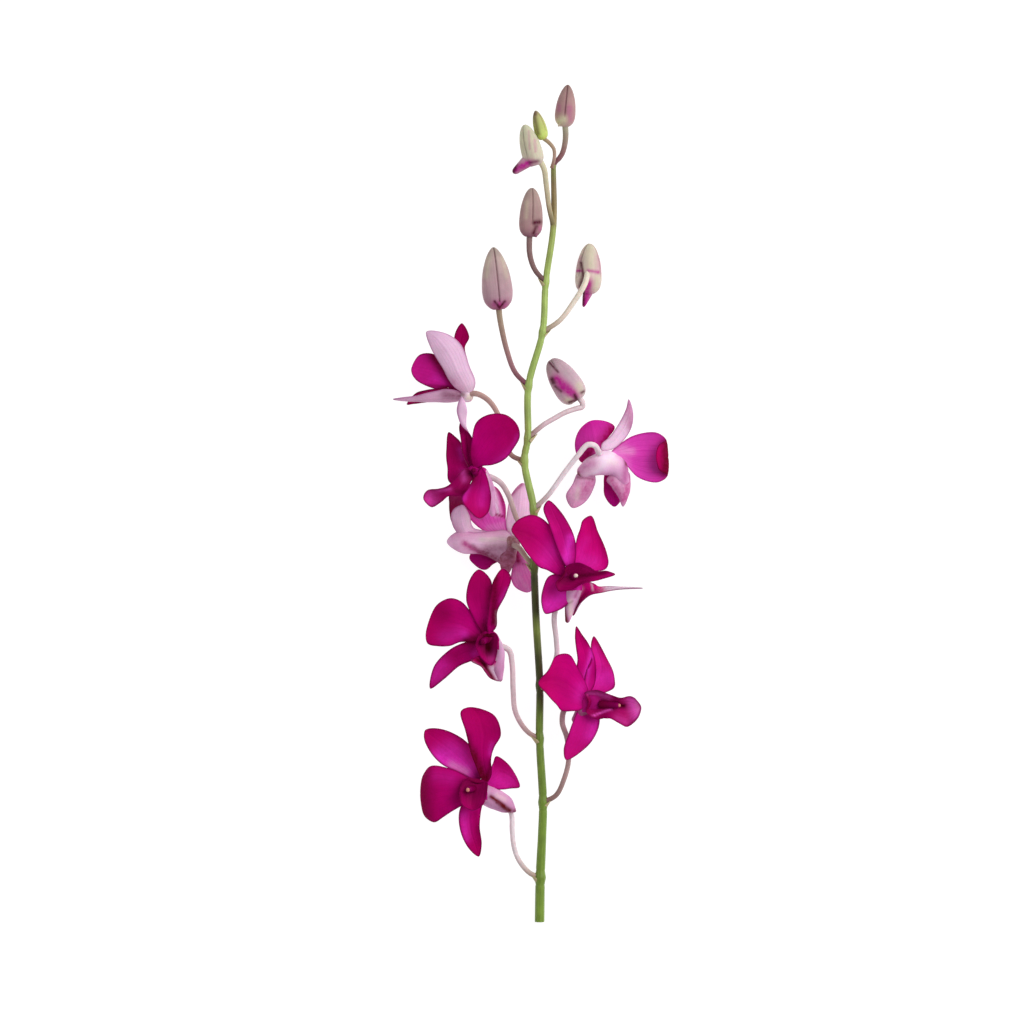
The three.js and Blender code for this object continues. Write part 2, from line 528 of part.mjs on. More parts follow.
// Radius of a bud with a blunt of 1 along its length, from the base to the tip, over its greatest
// radius
const BUD_PROFILE = [
  [0, 0.33], [0.05, 0.63], [0.15, 0.91], [0.28, 1], [0.47, 0.95], [0.62, 0.84], [0.75, 0.67],
  [0.87, 0.46], [0.96, 0.22], [1, 0.06],
];

function vector([x, y, z]) {
  return new THREE.Vector3(x, y, z);
}

function toSolid(geometry) {
  geometry.deleteAttribute('normal');
  geometry.deleteAttribute('uv');
  const merged = mergeVertices(geometry, 1e-5);
  return new wasm.Manifold(new wasm.Mesh({
    numProp: 3,
    vertProperties: new Float32Array(merged.attributes.position.array),
    triVerts: new Uint32Array(merged.index.array),
  }));
}

function toGeometry(solid) {
  const { vertProperties, triVerts } = solid.getMesh();
  const geometry = new THREE.BufferGeometry();
  geometry.setAttribute('position', new THREE.BufferAttribute(vertProperties, 3));
  geometry.setIndex(new THREE.BufferAttribute(triVerts, 1));
  geometry.computeVertexNormals();
  return geometry;
}

function largestPiece(solid) {
  return solid.decompose().sort((a, b) => b.volume() - a.volume())[0];
}

// A closed skin over rings of points, with a fan over each end
function loft(rings) {
  const sides = rings[0].length;
  const points = rings.flat();
  const faces = [];
  for (let ring = 0; ring < rings.length - 1; ring += 1) {
    for (let side = 0; side < sides; side += 1) {
      const a = ring * sides + side;
      const b = ring * sides + ((side + 1) % sides);
      faces.push(a, b, b + sides, a, b + sides, a + sides);
    }
  }
  for (const [ring, turn] of [[0, 1], [rings.length - 1, 0]]) {
    const centre = new THREE.Vector3();
    rings[ring].forEach((point) => centre.addScaledVector(point, 1 / sides));
    points.push(centre);
    for (let side = 0; side < sides; side += 1) {
      const a = ring * sides + side;
      const b = ring * sides + ((side + 1) % sides);
      faces.push(points.length - 1, turn ? b : a, turn ? a : b);
    }
  }
  const geometry = new THREE.BufferGeometry().setFromPoints(points);
  geometry.setIndex(faces);
  return toSolid(geometry);
}

// A round stalk along a smooth curve through points. Each place is a share of the way along it,
// with the radius there. Its two ends reach a little further than the points
function sweep(points, places, sides, reach = 0) {
  const curve = new THREE.CatmullRomCurve3(points.map(vector), false, 'centripetal');
  const across = new THREE.Vector3(0.3, 0.2, 1);
  return loft(places.map(([share, radius]) => {
    const along = curve.getTangent(share);
    const centre = curve.getPoint(share).addScaledVector(along, { 0: -reach, 1: reach }[share] ?? 0);
    across.addScaledVector(along, -across.dot(along)).normalize();
    const up = along.clone().cross(across);
    return Array.from({ length: sides }, (_, side) => {
      const angle = (side / sides) * Math.PI * 2;
      return centre.clone()
        .addScaledVector(across, Math.cos(angle) * radius)
        .addScaledVector(up, Math.sin(angle) * radius);
    });
  }));
}

function evenPlaces(steps, radiusAt) {
  return Array.from({ length: steps + 1 }, (_, step) => [step / steps, radiusAt(step / steps)]);
}

function ball(centre, radii) {
  const geometry = new THREE.SphereGeometry(1, 8, 5);
  geometry.scale(...radii);
  geometry.translate(...centre);
  return toSolid(geometry);
}

// One edge of a blade. The curve goes on round the tip to the other edge, so that the tip is round
function edgeCurve(base, side, tip, otherSide) {
  const points = [base, ...side, tip, otherSide.at(-1)].map(vector);
  const curve = new THREE.CatmullRomCurve3(points, false, 'centripetal');
  const share = (points.length - 2) / (points.length - 1);
  return (t) => curve.getPoint(t * share);
}

// A thin blade between two edges, with both faces split into triangles alike
function blade({ base, left, tip, right, cup }, thickness, columns, grow) {
  const leftEdge = edgeCurve(base, left, tip, right);
  const rightEdge = edgeCurve(base, right, tip, left);
  const middle = (t, s) => {
    const a = leftEdge(t);
    const b = rightEdge(t);
    const across = b.clone().sub(a);
    const ahead = Math.min(t + SLOPE_STEP, 1);
    const behind = Math.max(t - SLOPE_STEP, 0);
    const along = leftEdge(ahead).add(rightEdge(ahead)).sub(leftEdge(behind)).sub(rightEdge(behind));
    const front = across.clone().cross(along).normalize();
    const depth = -cup * across.length() * (1 - s * s);
    const point = a.clone().lerp(b, (s + 1) / 2).addScaledVector(front, depth);
    const beyond = { 0: -grow, 1: grow }[t] ?? 0;
    return point.addScaledVector(across.normalize(), s * grow)
      .addScaledVector(along.normalize(), beyond);
  };
  const faceNormal = (t, s) => {
    const place = THREE.MathUtils.clamp(t, END_MARGIN, 1 - END_MARGIN);
    const along = middle(place + SLOPE_STEP, s).sub(middle(place - SLOPE_STEP, s));
    const right = middle(place, Math.min(s + ACROSS_STEP, 1));
    const across = right.sub(middle(place, Math.max(s - ACROSS_STEP, -1)));
    return across.cross(along).normalize();
  };
  const rows = [];
  for (let row = 0; row <= TEPAL_ROWS; row += 1) {
    const t = row / TEPAL_ROWS;
    const ends = row === 0 || row === TEPAL_ROWS;
    const steps = ends ? [0] : Array.from({ length: columns + 1 }, (_, i) => (2 * i) / columns - 1);
    rows.push(steps.map((s) => ({ point: middle(t, s), normal: faceNormal(t, s) })));
  }
  const points = [];
  const faces = [];
  for (const side of [1, -1]) {
    const first = points.length;
    const starts = [];
    rows.forEach((row) => {
      starts.push(points.length);
      row.forEach(({ point, normal }) => {
        points.push(point.clone().addScaledVector(normal, side * (thickness / 2 + grow)));
      });
    });
    const add = (a, b, c) => (side > 0 ? faces.push(a, b, c) : faces.push(a, c, b));
    for (let row = 0; row < TEPAL_ROWS; row += 1) {
      for (let column = 0; column < columns; column += 1) {
        const a = starts[row] + column;
        const b = starts[row + 1] + column;
        if (row === 0) {
          add(first, b + 1, b);
        } else if (row === TEPAL_ROWS - 1) {
          add(a, a + 1, starts[row + 1]);
        } else {
          add(a, a + 1, b + 1);
          add(a, b + 1, b);
        }
      }
    }
  }
  const half = points.length / 2;
  const rim = (a, b) => faces.push(a, b, b + half, a, b + half, a + half);
  let start = 0;
  for (let row = 0; row < TEPAL_ROWS; row += 1) {
    const next = start + rows[row].length;
    rim(start, next);
    rim(next + rows[row + 1].length - 1, start + rows[row].length - 1);
    start = next;
  }
  const geometry = new THREE.BufferGeometry().setFromPoints(points);
  geometry.setIndex(faces);
  return toSolid(geometry);
}

const spray = new THREE.Group();

function add(name, solid, { colour, roughness }) {
  const look = new THREE.MeshStandardMaterial({ color: colour, roughness, metalness: 0 });
  const mesh = new THREE.Mesh(toGeometry(largestPiece(solid)), look);
  mesh.name = name;
  spray.add(mesh);
}

const table = toSolid(new THREE.BoxGeometry(...TABLE).translate(0, 0, -TABLE[2] / 2));

// The stem, with a swelling and a small pointed bract at each node
function rachis(grow) {
  const last = RACHIS.length - 1;
  const places = [];
  RACHIS.forEach(({ radius }, index) => {
    const swelling = NODES.some((node) => node.at === index) ? NODE_SWELLING : 1;
    places.push([index / last, radius * swelling + grow]);
    if (index < last) {
      const next = RACHIS[index + 1].radius;
      for (const share of [NODE_REACH, 1 - NODE_REACH]) {
        places.push([(index + share) / last, THREE.MathUtils.lerp(radius, next, share) + grow]);
      }
    }
  });
  let solid = sweep(RACHIS.map(({ at }) => at), places, RACHIS_SIDES, grow);
  NODES.forEach(({ at, towards }) => {
    const start = vector(RACHIS[at].at).add(new THREE.Vector3(0, -BRACT_RADIUS, 0));
    const end = start.clone().addScaledVector(vector(towards).normalize(), BRACT_LENGTH + grow);
    const taper = (share) => THREE.MathUtils.lerp(BRACT_RADIUS, BRACT_TIP_RADIUS, share) + grow;
    solid = solid.add(sweep([start.toArray(), end.toArray()], evenPlaces(1, taper), BRACT_SIDES));
  });
  return solid;
}

const stem = rachis(0);
const stemRoom = rachis(CLEARANCE);
add('rachis', stem.subtract(table), LOOKS.stem);

function stalk(path, grow, radius = STALK_RADIUS) {
  const swell = (share) => radius * THREE.MathUtils.lerp(1, STALK_SWELLING, share * share) + grow;
  return sweep(path, evenPlaces(Math.max(8, 2 * path.length), swell), STALK_SIDES);
}

function inPlace(solid, centre) {
  return solid.translate(centre);
}

function mentum({ path, radii }, grow) {
  const last = radii.length - 1;
  const radiusAt = (t) => {
    const place = Math.min(t * last, last - 1e-6);
    const index = Math.floor(place);
    return THREE.MathUtils.lerp(radii[index], radii[index + 1], place - index) + grow;
  };
  return sweep(path, evenPlaces(2 * path.length, radiusAt), MENTUM_SIDES, grow);
}

function tepals(bloom, grow) {
  let solid = ball(bloom.core.at, bloom.core.radii.map((radius) => radius + grow));
  solid = solid.add(mentum(bloom.mentum, grow));
  Object.values(bloom.petals).forEach((petal) => {
    solid = solid.add(blade(petal, TEPAL_THICKNESS, PETAL_COLUMNS, grow));
  });
  Object.values(bloom.sepals).forEach((sepal) => {
    solid = solid.add(blade(sepal, TEPAL_THICKNESS, SEPAL_COLUMNS, grow));
  });
  return solid;
}

function column(bloom, grow) {
  const taper = (t) => THREE.MathUtils.lerp(COLUMN_FOOT_RADIUS, COLUMN_END_RADIUS, t) + grow;
  return sweep(bloom.column, evenPlaces(3, taper), COLUMN_SIDES, grow);
}

function cap(bloom, grow) {
  return ball(bloom.column[1], [CAP_RADIUS + grow, CAP_RADIUS + grow, CAP_RADIUS + grow]);
}

BLOOMS.forEach((bloom) => {
  const { name, centre } = bloom;
  const whole = tepals(bloom, 0);
  const tepalRoom = tepals(bloom, CLEARANCE);
  const columnSolid = column(bloom, 0).subtract(tepalRoom).subtract(cap(bloom, CLEARANCE));
  const columnRoom = column(bloom, CLEARANCE);
  const lip = blade(bloom.lip, LIP_THICKNESS, PETAL_COLUMNS, 0)
    .subtract(tepalRoom).subtract(columnRoom).subtract(cap(bloom, CLEARANCE));
  add(`${name}_tepals`, inPlace(whole, centre).subtract(table), LOOKS.tepals);
  add(`${name}_lip`, inPlace(lip, centre), LOOKS.lip);
  add(`${name}_column`, inPlace(columnSolid, centre), LOOKS.column);
  add(`${name}_anther_cap`, inPlace(cap(bloom, 0).subtract(tepalRoom), centre), LOOKS.cap);
  const stalkSolid = stalk(bloom.stalk, 0).subtract(stemRoom).subtract(inPlace(tepalRoom, centre));
  add(`${name}_stalk`, stalkSolid, LOOKS.stalk);
});

function bud(shape, grow) {
  const { base, tip, radius, blunt, chin } = shape;
  const start = vector(base);
  const axis = vector(tip).sub(start);
  const length = axis.length();
  axis.normalize();
  const side = axis.clone().cross(new THREE.Vector3(0, 0, 1)).normalize();
  const up = side.clone().cross(axis).normalize();
  const rings = BUD_PROFILE.map(([t, share]) => Array.from({ length: BUD_SIDES }, (_, i) => {
    const angle = (-i / BUD_SIDES) * Math.PI * 2;
    const reach = radius * share ** (1 / blunt) * (1 + BUD_RIDGE * Math.cos(3 * angle)) + grow;
    return start.clone().addScaledVector(axis, t * length + grow * (2 * t - 1))
      .addScaledVector(side, Math.cos(angle) * reach)
      .addScaledVector(up, Math.sin(angle) * reach);
  }));
  let solid = loft(rings);
  if (chin) {
    const taper = (t) => THREE.MathUtils.lerp(...chin.radii, t) + grow;
    solid = solid.add(sweep([chin.from, chin.to], evenPlaces(3, taper), BUD_CHIN_SIDES, grow));
  }
  return solid;
}

BUDS.forEach((shape) => {
  const look = { colour: shape.colour, roughness: BUD_ROUGHNESS };
  add(shape.name, bud(shape, 0).subtract(table), look);
  const stalkSolid = stalk(shape.stalk, 0, shape.stalkRadius).subtract(stemRoom).subtract(bud(shape, CLEARANCE));
  add(`${shape.name}_stalk`, stalkSolid, LOOKS.budStalk);
});

export default spray;
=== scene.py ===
"""A cut dendrobium orchid spray, lying on a pale surface and seen from straight above.

Eight open blooms stand low on one green flower stem and seven buds stand at its top, each on its
own stalk. Points are in millimetres, +Y along the stem from its cut end, +Z up from the surface.
"""
import math
import bmesh
import bpy
import mathutils
import numpy as np
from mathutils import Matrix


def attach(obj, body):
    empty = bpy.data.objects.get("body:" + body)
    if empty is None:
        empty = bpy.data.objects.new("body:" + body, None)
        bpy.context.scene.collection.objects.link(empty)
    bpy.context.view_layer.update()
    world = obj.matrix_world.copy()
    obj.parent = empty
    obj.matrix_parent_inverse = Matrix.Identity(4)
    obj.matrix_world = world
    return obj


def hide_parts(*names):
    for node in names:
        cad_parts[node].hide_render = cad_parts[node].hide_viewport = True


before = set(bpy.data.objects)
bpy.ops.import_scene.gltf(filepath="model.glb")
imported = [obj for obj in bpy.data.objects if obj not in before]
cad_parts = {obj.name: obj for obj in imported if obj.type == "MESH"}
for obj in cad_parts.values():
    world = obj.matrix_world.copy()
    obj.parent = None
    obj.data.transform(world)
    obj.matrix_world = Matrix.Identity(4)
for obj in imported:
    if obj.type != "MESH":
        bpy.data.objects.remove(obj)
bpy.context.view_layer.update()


# Camera, floor and light
# The spray lies on a white light table under a broad, soft light high on its right and a weak one
# on its left. The camera looks straight down, with the young tip of the stem up.

MM = 0.001
PICTURE_WIDTH = 450.6 * MM
PICTURE_CENTRE = (-8.6 * MM, -3.7 * MM)
CAMERA_HEIGHT = 1.5
TABLE_SIZE = 4.0
ROOM_COLOUR = "#f4f4f6"
ROOM_BRIGHTNESS = 0.42
# The place and the size of each light in metres, and its power in watts
LIGHTS = {
    "light_upper_right": ((1.0, 0.55, 1.1), 1.3, 20),
    "light_left": ((-0.9, 0.2, 1.0), 0.8, 1.5),
}


def linear(colour):
    """An sRGB hex colour as linear red, green, blue and alpha."""
    parts = [int(colour[i:i + 2], 16) / 255 for i in (1, 3, 5)]
    return [c / 12.92 if c <= 0.04045 else ((c + 0.055) / 1.055) ** 2.4 for c in parts] + [1]


def add_node(tree, kind, settings=None, links=None):
    """Adds a node. Links go to its inputs by name or number, from a socket or a plain value."""
    node = tree.nodes.new(kind)
    for name, value in (settings or {}).items():
        setattr(node, name, value)
    for key, value in (links or {}).items():
        if isinstance(value, bpy.types.NodeSocket):
            tree.links.new(value, node.inputs[key])
        else:
            node.inputs[key].default_value = value
    return node


def new_material(name):
    """A material with an empty node tree."""
    material = bpy.data.materials.new(name)
    material.use_nodes = True
    material.node_tree.nodes.clear()
    return material, material.node_tree


def add_surface(tree, finish):
    """Ends a material in one surface, whose colour and finish go by the names of its inputs."""
    surface = add_node(tree, "ShaderNodeBsdfPrincipled", links=finish)
    add_node(tree, "ShaderNodeOutputMaterial", links={"Surface": surface.outputs[0]})


camera_data = bpy.data.cameras.new("camera_above")
camera_data.type = "ORTHO"
camera_data.ortho_scale = PICTURE_WIDTH
camera = bpy.data.objects.new("camera_above", camera_data)
camera.location = (*PICTURE_CENTRE, CAMERA_HEIGHT)
bpy.context.collection.objects.link(camera)
bpy.context.scene.camera = camera
bpy.context.scene.view_settings.view_transform = "Standard"

# Milky glass, lit from below, so that the spray's own shadows on it stay faint
milky_glass, tree = new_material("lit_milky_glass")
add_surface(tree, {
    "Base Color": linear("#8a8a8a"), "Roughness": 0.9, "Specular IOR Level": 0.0,
    "Emission Color": linear("#ffffff"), "Emission Strength": 0.9})

half = TABLE_SIZE / 2
table_mesh = bpy.data.meshes.new("table_top")
table_mesh.from_pydata([(-half, -half, 0), (half, -half, 0), (half, half, 0), (-half, half, 0)],
                       [], [(0, 1, 2, 3)])
table_mesh.materials.append(milky_glass)
table = bpy.data.objects.new("table_top", table_mesh)
bpy.context.collection.objects.link(table)

world = bpy.data.worlds.new("soft_room")
bpy.context.scene.world = world
world.use_nodes = True
room_light = world.node_tree.nodes["Background"].inputs
room_light["Color"].default_value = linear(ROOM_COLOUR)
room_light["Strength"].default_value = ROOM_BRIGHTNESS

for name, (place, size, watts) in LIGHTS.items():
    light = bpy.data.lights.new(name, "AREA")
    light.size = size
    light.energy = watts
    lamp = bpy.data.objects.new(name, light)
    lamp.location = place
    x, y, z = place
    lamp.rotation_euler = (math.atan2(math.hypot(x, y), z), 0, math.atan2(y, x) + math.pi / 2)
    bpy.context.collection.objects.link(lamp)


# The flower stem and its bracts
# A fleshy green stem, a little over 4 mm thick at the cut and under 3 mm at the tip, with a
# swollen ring and a small papery bract at each node where one of the lower twelve stalks leaves.

# Points on the middle line of the stem, from the cut up, each with the stem's radius there
STEM = [
    ((3.5, -184.1, 1.85), 2.1),
    ((3.8, -164.5, 4.5), 2.05),
    ((4.6, -146, 7), 1.85),
    ((5, -131.5, 9), 1.8),
    ((3.5, -103.5, 13), 1.65),
    ((3.6, -80, 16), 1.6),
    ((2, -51.5, 19.5), 1.6),
    ((1.1, -28, 21.5), 1.6),
    ((1, -16, 22.3), 1.6),
    ((0.9, -2.5, 23), 1.6),
    ((-3.2, 18.7, 23.5), 1.55),
    ((-1.7, 28.8, 23.5), 1.5),
    ((-1.4, 51.7, 23), 1.5),
    ((4.8, 75.5, 22), 1.45),
    ((6.2, 97.5, 21), 1.4),
    ((9.6, 122.5, 20), 1.35),
    ((9.6, 149, 19), 1.1),
]
# The share of the stem's length at which its first ring of points lies
STEM_START = 0.0005
STEM_RINGS = 560
STEM_SIDES = 36
STEM_RIDGES = 9
RIDGE_HEIGHT = 0.07 * MM
# The stem's points that are nodes, each with the way that its bract faces
NODES = [
    (1, (-1, 0.4, 0.2)),
    (3, (1, 0.4, 0.3)),
    (4, (-1, 0.5, 0.3)),
    (5, (1, 0.8, 0.4)),
    (7, (-1, 1, -0.4)),
    (8, (-1, 0.8, -0.3)),
    (9, (1, 0.8, 0.2)),
    (10, (-1, 0.4, -0.3)),
    (11, (1, 0.6, -0.2)),
    (12, (-1, 0.8, -0.3)),
    (13, (1, 0.6, -0.5)),
    (14, (-1, 1, 0.2)),
]
# The ring at a node and the neck on each side of it: the share by which they are thicker or
# thinner than the stem, how far they reach, and how far the neck is from the node
RING_SWELLING = 0.2
RING_REACH = 1.6
NECK_DEPTH = 0.07
NECK_REACH = 0.5
NECK_AWAY = 3.2
BRACT_LENGTH = 4.6 * MM
BRACT_WIDTH = 3.4 * MM
BRACT_THICKNESS = 0.22 * MM
# How a bract narrows to its tip, the share of its width that is left there and how deep it cups
BRACT_TAPER = 2.2
BRACT_TIP = 0.04
BRACT_CUP = 1.4
BRACT_SIZES = (0.8, 1.1)
BRACT_SEED = 4
# A bract's foot is below its node and a little under the skin. It leans out from the stem
BRACT_BELOW = 2.0
BRACT_AWAY = 0.95
BRACT_LEAN = 0.55
BRACT_RISE = 0.84
TINY = 1e-9


def smooth_curve(points, shares):
    """Points on a smooth curve through the given ones, at shares from 0 to 1 of the way."""
    points = np.array(points, float)
    padded = np.vstack([2 * points[0] - points[1], points, 2 * points[-1] - points[-2]])
    place = np.clip(shares, 0, 1) * (len(points) - 1)
    index = np.minimum(place.astype(int), len(points) - 2)
    w = (place - index)[:, None]
    p0, p1, p2, p3 = (padded[index + k] for k in range(4))
    d0, d1, d2 = (np.maximum(np.linalg.norm(b - a, axis=1), TINY)[:, None] ** 0.5
                  for a, b in ((p0, p1), (p1, p2), (p2, p3)))
    m1 = ((p1 - p0) / d0 - (p2 - p0) / (d0 + d1) + (p2 - p1) / d1) * d1
    m2 = ((p2 - p1) / d1 - (p3 - p1) / (d1 + d2) + (p3 - p2) / d2) * d1
    bend = w ** 2 * (3 * (p2 - p1) - 2 * m1 - m2) + w ** 3 * (2 * (p1 - p2) + m1 + m2)
    return p1 + w * m1 + bend


def unit(direction):
    """A direction with a length of 1."""
    return np.array(direction) / np.linalg.norm(direction)


def new_tree(name, inputs):
    """A Geometry Nodes tree with a Geometry input and the given named inputs."""
    tree = bpy.data.node_groups.new(name, "GeometryNodeTree")
    tree.interface.new_socket("Geometry", in_out="INPUT", socket_type="NodeSocketGeometry")
    for title, kind in inputs:
        tree.interface.new_socket(title, in_out="INPUT", socket_type=f"NodeSocket{kind}")
    tree.interface.new_socket("Geometry", in_out="OUTPUT", socket_type="NodeSocketGeometry")
    return tree, tree.nodes.new("NodeGroupInput")


def end_tree(tree, shape, skin):
    """Ends a Geometry Nodes tree in one real, smooth mesh with its skin."""
    real = add_node(tree, "GeometryNodeRealizeInstances", links={0: shape})
    smooth = add_node(tree, "GeometryNodeSetShadeSmooth", links={0: real.outputs[0]})
    covered = add_node(tree, "GeometryNodeSetMaterial", links={
        "Geometry": smooth.outputs[0], "Material": skin})
    add_node(tree, "NodeGroupOutput", links={0: covered.outputs[0]})


def calculated(tree, operation, *values, clamp=False):
    """The result of a Math node on sockets or plain numbers."""
    return add_node(tree, "ShaderNodeMath", {"operation": operation, "use_clamp": clamp},
                    dict(enumerate(values))).outputs[0]


def product(tree, first, second):
    """One number times another."""
    return calculated(tree, "MULTIPLY", first, second)


def scaled(tree, vector, factor):
    """A vector or a colour times a number."""
    return add_node(tree, "ShaderNodeVectorMath", {"operation": "SCALE"},
                    {0: vector, "Scale": factor}).outputs[0]


def named(tree, name, kind):
    """What a mesh or a curve holds under a name."""
    return add_node(tree, "GeometryNodeInputNamedAttribute", {"data_type": kind},
                    {"Name": name}).outputs["Attribute"]


def stalk_tree():
    """Sweeps a ridged round section along a curve, with the curve's radius as the stalk's."""
    tree, given = new_tree("ridged_stalk", [
        ("Sides", "Int"), ("Ridges", "Float"), ("Ridge Height", "Float"), ("Skin", "Material")])
    way = add_node(tree, "GeometryNodeSplineParameter").outputs["Factor"]
    path = add_node(tree, "GeometryNodeStoreNamedAttribute", {"domain": "POINT"}, {
        "Geometry": given.outputs["Geometry"], "Name": "along", "Value": way})
    ring = add_node(tree, "GeometryNodeCurvePrimitiveCircle", links={
        "Resolution": given.outputs["Sides"], "Radius": 1.0})
    numbered_ring = add_node(tree, "GeometryNodeStoreNamedAttribute", {"domain": "POINT"}, {
        "Geometry": ring.outputs[0], "Name": "around", "Value": way})
    swept = add_node(tree, "GeometryNodeCurveToMesh", links={
        "Curve": path.outputs[0], "Profile Curve": numbered_ring.outputs[0],
        "Scale": add_node(tree, "GeometryNodeInputRadius").outputs[0], "Fill Caps": True})
    turns = product(tree, named(tree, "around", "FLOAT"), given.outputs["Ridges"])
    wave = calculated(tree, "COSINE", product(tree, turns, 2 * math.pi))
    lift = product(tree, wave, given.outputs["Ridge Height"])
    normal = add_node(tree, "GeometryNodeInputNormal").outputs[0]
    ridged = add_node(tree, "GeometryNodeSetPosition", links={
        "Geometry": swept.outputs[0], "Offset": scaled(tree, normal, lift)})
    end_tree(tree, ridged.outputs[0], given.outputs["Skin"])
    return tree


def made_by(tree, name, data, values):
    """The plain mesh object that a Geometry Nodes tree makes from a curve or a mesh."""
    start = bpy.data.objects.new(f"{name}_start", data)
    bpy.context.collection.objects.link(start)
    modifier = start.modifiers.new("shape", "NODES")
    modifier.node_group = tree
    sockets = {item.name: item.identifier for item in tree.interface.items_tree
               if item.in_out == "INPUT"}
    for title, value in values.items():
        modifier[sockets[title]] = value
    bpy.context.view_layer.update()
    evaluated = start.evaluated_get(bpy.context.evaluated_depsgraph_get())
    mesh = bpy.data.meshes.new_from_object(evaluated)
    mesh.name = name
    bpy.data.objects.remove(start)
    piece = bpy.data.objects.new(name, mesh)
    bpy.context.collection.objects.link(piece)
    return piece


def middle_line(name, points, radii):
    """A curve through points in metres, with a radius at each."""
    curve = bpy.data.curves.new(f"{name}_line", "CURVE")
    curve.dimensions = "3D"
    spline = curve.splines.new("POLY")
    spline.points.add(len(points) - 1)
    for point, place, radius in zip(spline.points, points, radii):
        point.co = (*place, 1)
        point.radius = radius
    return curve


def settle(piece, nodes):
    """Rides a finished piece on the spray in place of CAD nodes."""
    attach(piece, "root")
    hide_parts(*nodes)


def graded(tree, place, stops):
    """The colour at a place from 0 to 1 on a scale of colours, each given with its own place."""
    scale = add_node(tree, "ShaderNodeValToRGB", links={0: place})
    ramp = scale.color_ramp
    while len(ramp.elements) < len(stops):
        ramp.elements.new(0.5)
    for stop, (share, colour) in zip(ramp.elements, stops):
        stop.position = share
        stop.color = linear(colour)
    return scale.outputs["Color"]


def stored(tree, name):
    """The number that the mesh holds under a name."""
    return add_node(tree, "ShaderNodeAttribute", {"attribute_name": name}).outputs["Fac"]


def noise(tree, place, scale, detail):
    """How strong a cloudy noise is at a place, from 0 to 1."""
    return add_node(tree, "ShaderNodeTexNoise", links={
        "Vector": place, "Scale": scale, "Detail": detail}).outputs["Fac"]


def spread(tree, value, given, wanted, way="LINEAR"):
    """A value in the given range, spread over the wanted one."""
    return add_node(tree, "ShaderNodeMapRange", {"interpolation_type": way}, {
        "Value": value, "From Min": given[0], "From Max": given[1], "To Min": wanted[0],
        "To Max": wanted[1]}).outputs[0]


def relief(tree, height, strength, depth, under=None):
    """The slope of small bumps that follow a height, on top of those under them."""
    bumps = {"Height": height, "Strength": strength, "Distance": depth}
    if under is not None:
        bumps["Normal"] = under
    return add_node(tree, "ShaderNodeBump", links=bumps).outputs[0]


# Live stem skin: smooth, waxy and ribbed, yellow-green towards the tip and olive in the middle,
# brown where the youngest part dries. Its darkest olive bands, in the middle, are painted shadow
# of the blooms that lie over it there
STEM_TINTS_AND_SHADOWS = ((0.0, "#7a9636"), (0.15, "#769234"), (0.27, "#6c8430"), (0.3, "#4c5622"),
              (0.35, "#3e4518"), (0.385, "#7a8839"), (0.41, "#444919"), (0.455, "#3c4214"),
              (0.48, "#86a048"), (0.6, "#9cb55c"), (0.85, "#a6bb64"), (0.915, "#a0ae5c"),
              (0.925, "#93804e"), (0.975, "#84704a"), (1.0, "#8a9549"))
stem_skin, tree = new_material("waxy_green_stem_skin")
tint = graded(tree, stored(tree, "along"), STEM_TINTS_AND_SHADOWS)
position = add_node(tree, "ShaderNodeTexCoord").outputs["Object"]
long_grain = add_node(tree, "ShaderNodeMapping", links={
    "Vector": position, "Scale": (1200, 90, 1200)})
fibres = noise(tree, long_grain.outputs[0], scale=1.0, detail=4.0)
blotches = noise(tree, position, scale=160.0, detail=3.0)
shade = product(tree, spread(tree, fibres, (0.3, 0.7), (0.82, 1.1)),
                spread(tree, blotches, (0.35, 0.7), (1.06, 0.84)))
add_surface(tree, {
    "Base Color": scaled(tree, tint, shade), "Roughness": 0.42, "IOR": 1.42,
    "Subsurface Weight": 0.12, "Subsurface Radius": (0.6, 1.0, 0.3), "Subsurface Scale": 0.8 * MM,
    "Normal": relief(tree, fibres, strength=0.35, depth=0.1 * MM)})

shares = np.linspace(STEM_START, 1, STEM_RINGS)
stem_points = smooth_curve([place for place, _ in STEM], shares)
stem_radii = np.interp(shares * (len(STEM) - 1), range(len(STEM)), [r for _, r in STEM])
for index, _ in NODES:
    away = np.linalg.norm(stem_points - np.array(STEM[index][0]), axis=1)
    stem_radii *= 1 + RING_SWELLING * np.exp(-(away / RING_REACH) ** 2)
    stem_radii *= 1 - NECK_DEPTH * np.exp(-((away - NECK_AWAY) / NECK_REACH) ** 2)
ridged_stalk = stalk_tree()
stem = made_by(ridged_stalk, "flower_stem",
               middle_line("flower_stem", stem_points * MM, stem_radii * MM),
               {"Sides": STEM_SIDES, "Ridges": STEM_RIDGES, "Ridge Height": RIDGE_HEIGHT,
                "Skin": stem_skin})
# The underside of the cut end rests flat on the table
for vertex in stem.data.vertices:
    vertex.co.z = max(vertex.co.z, 0)


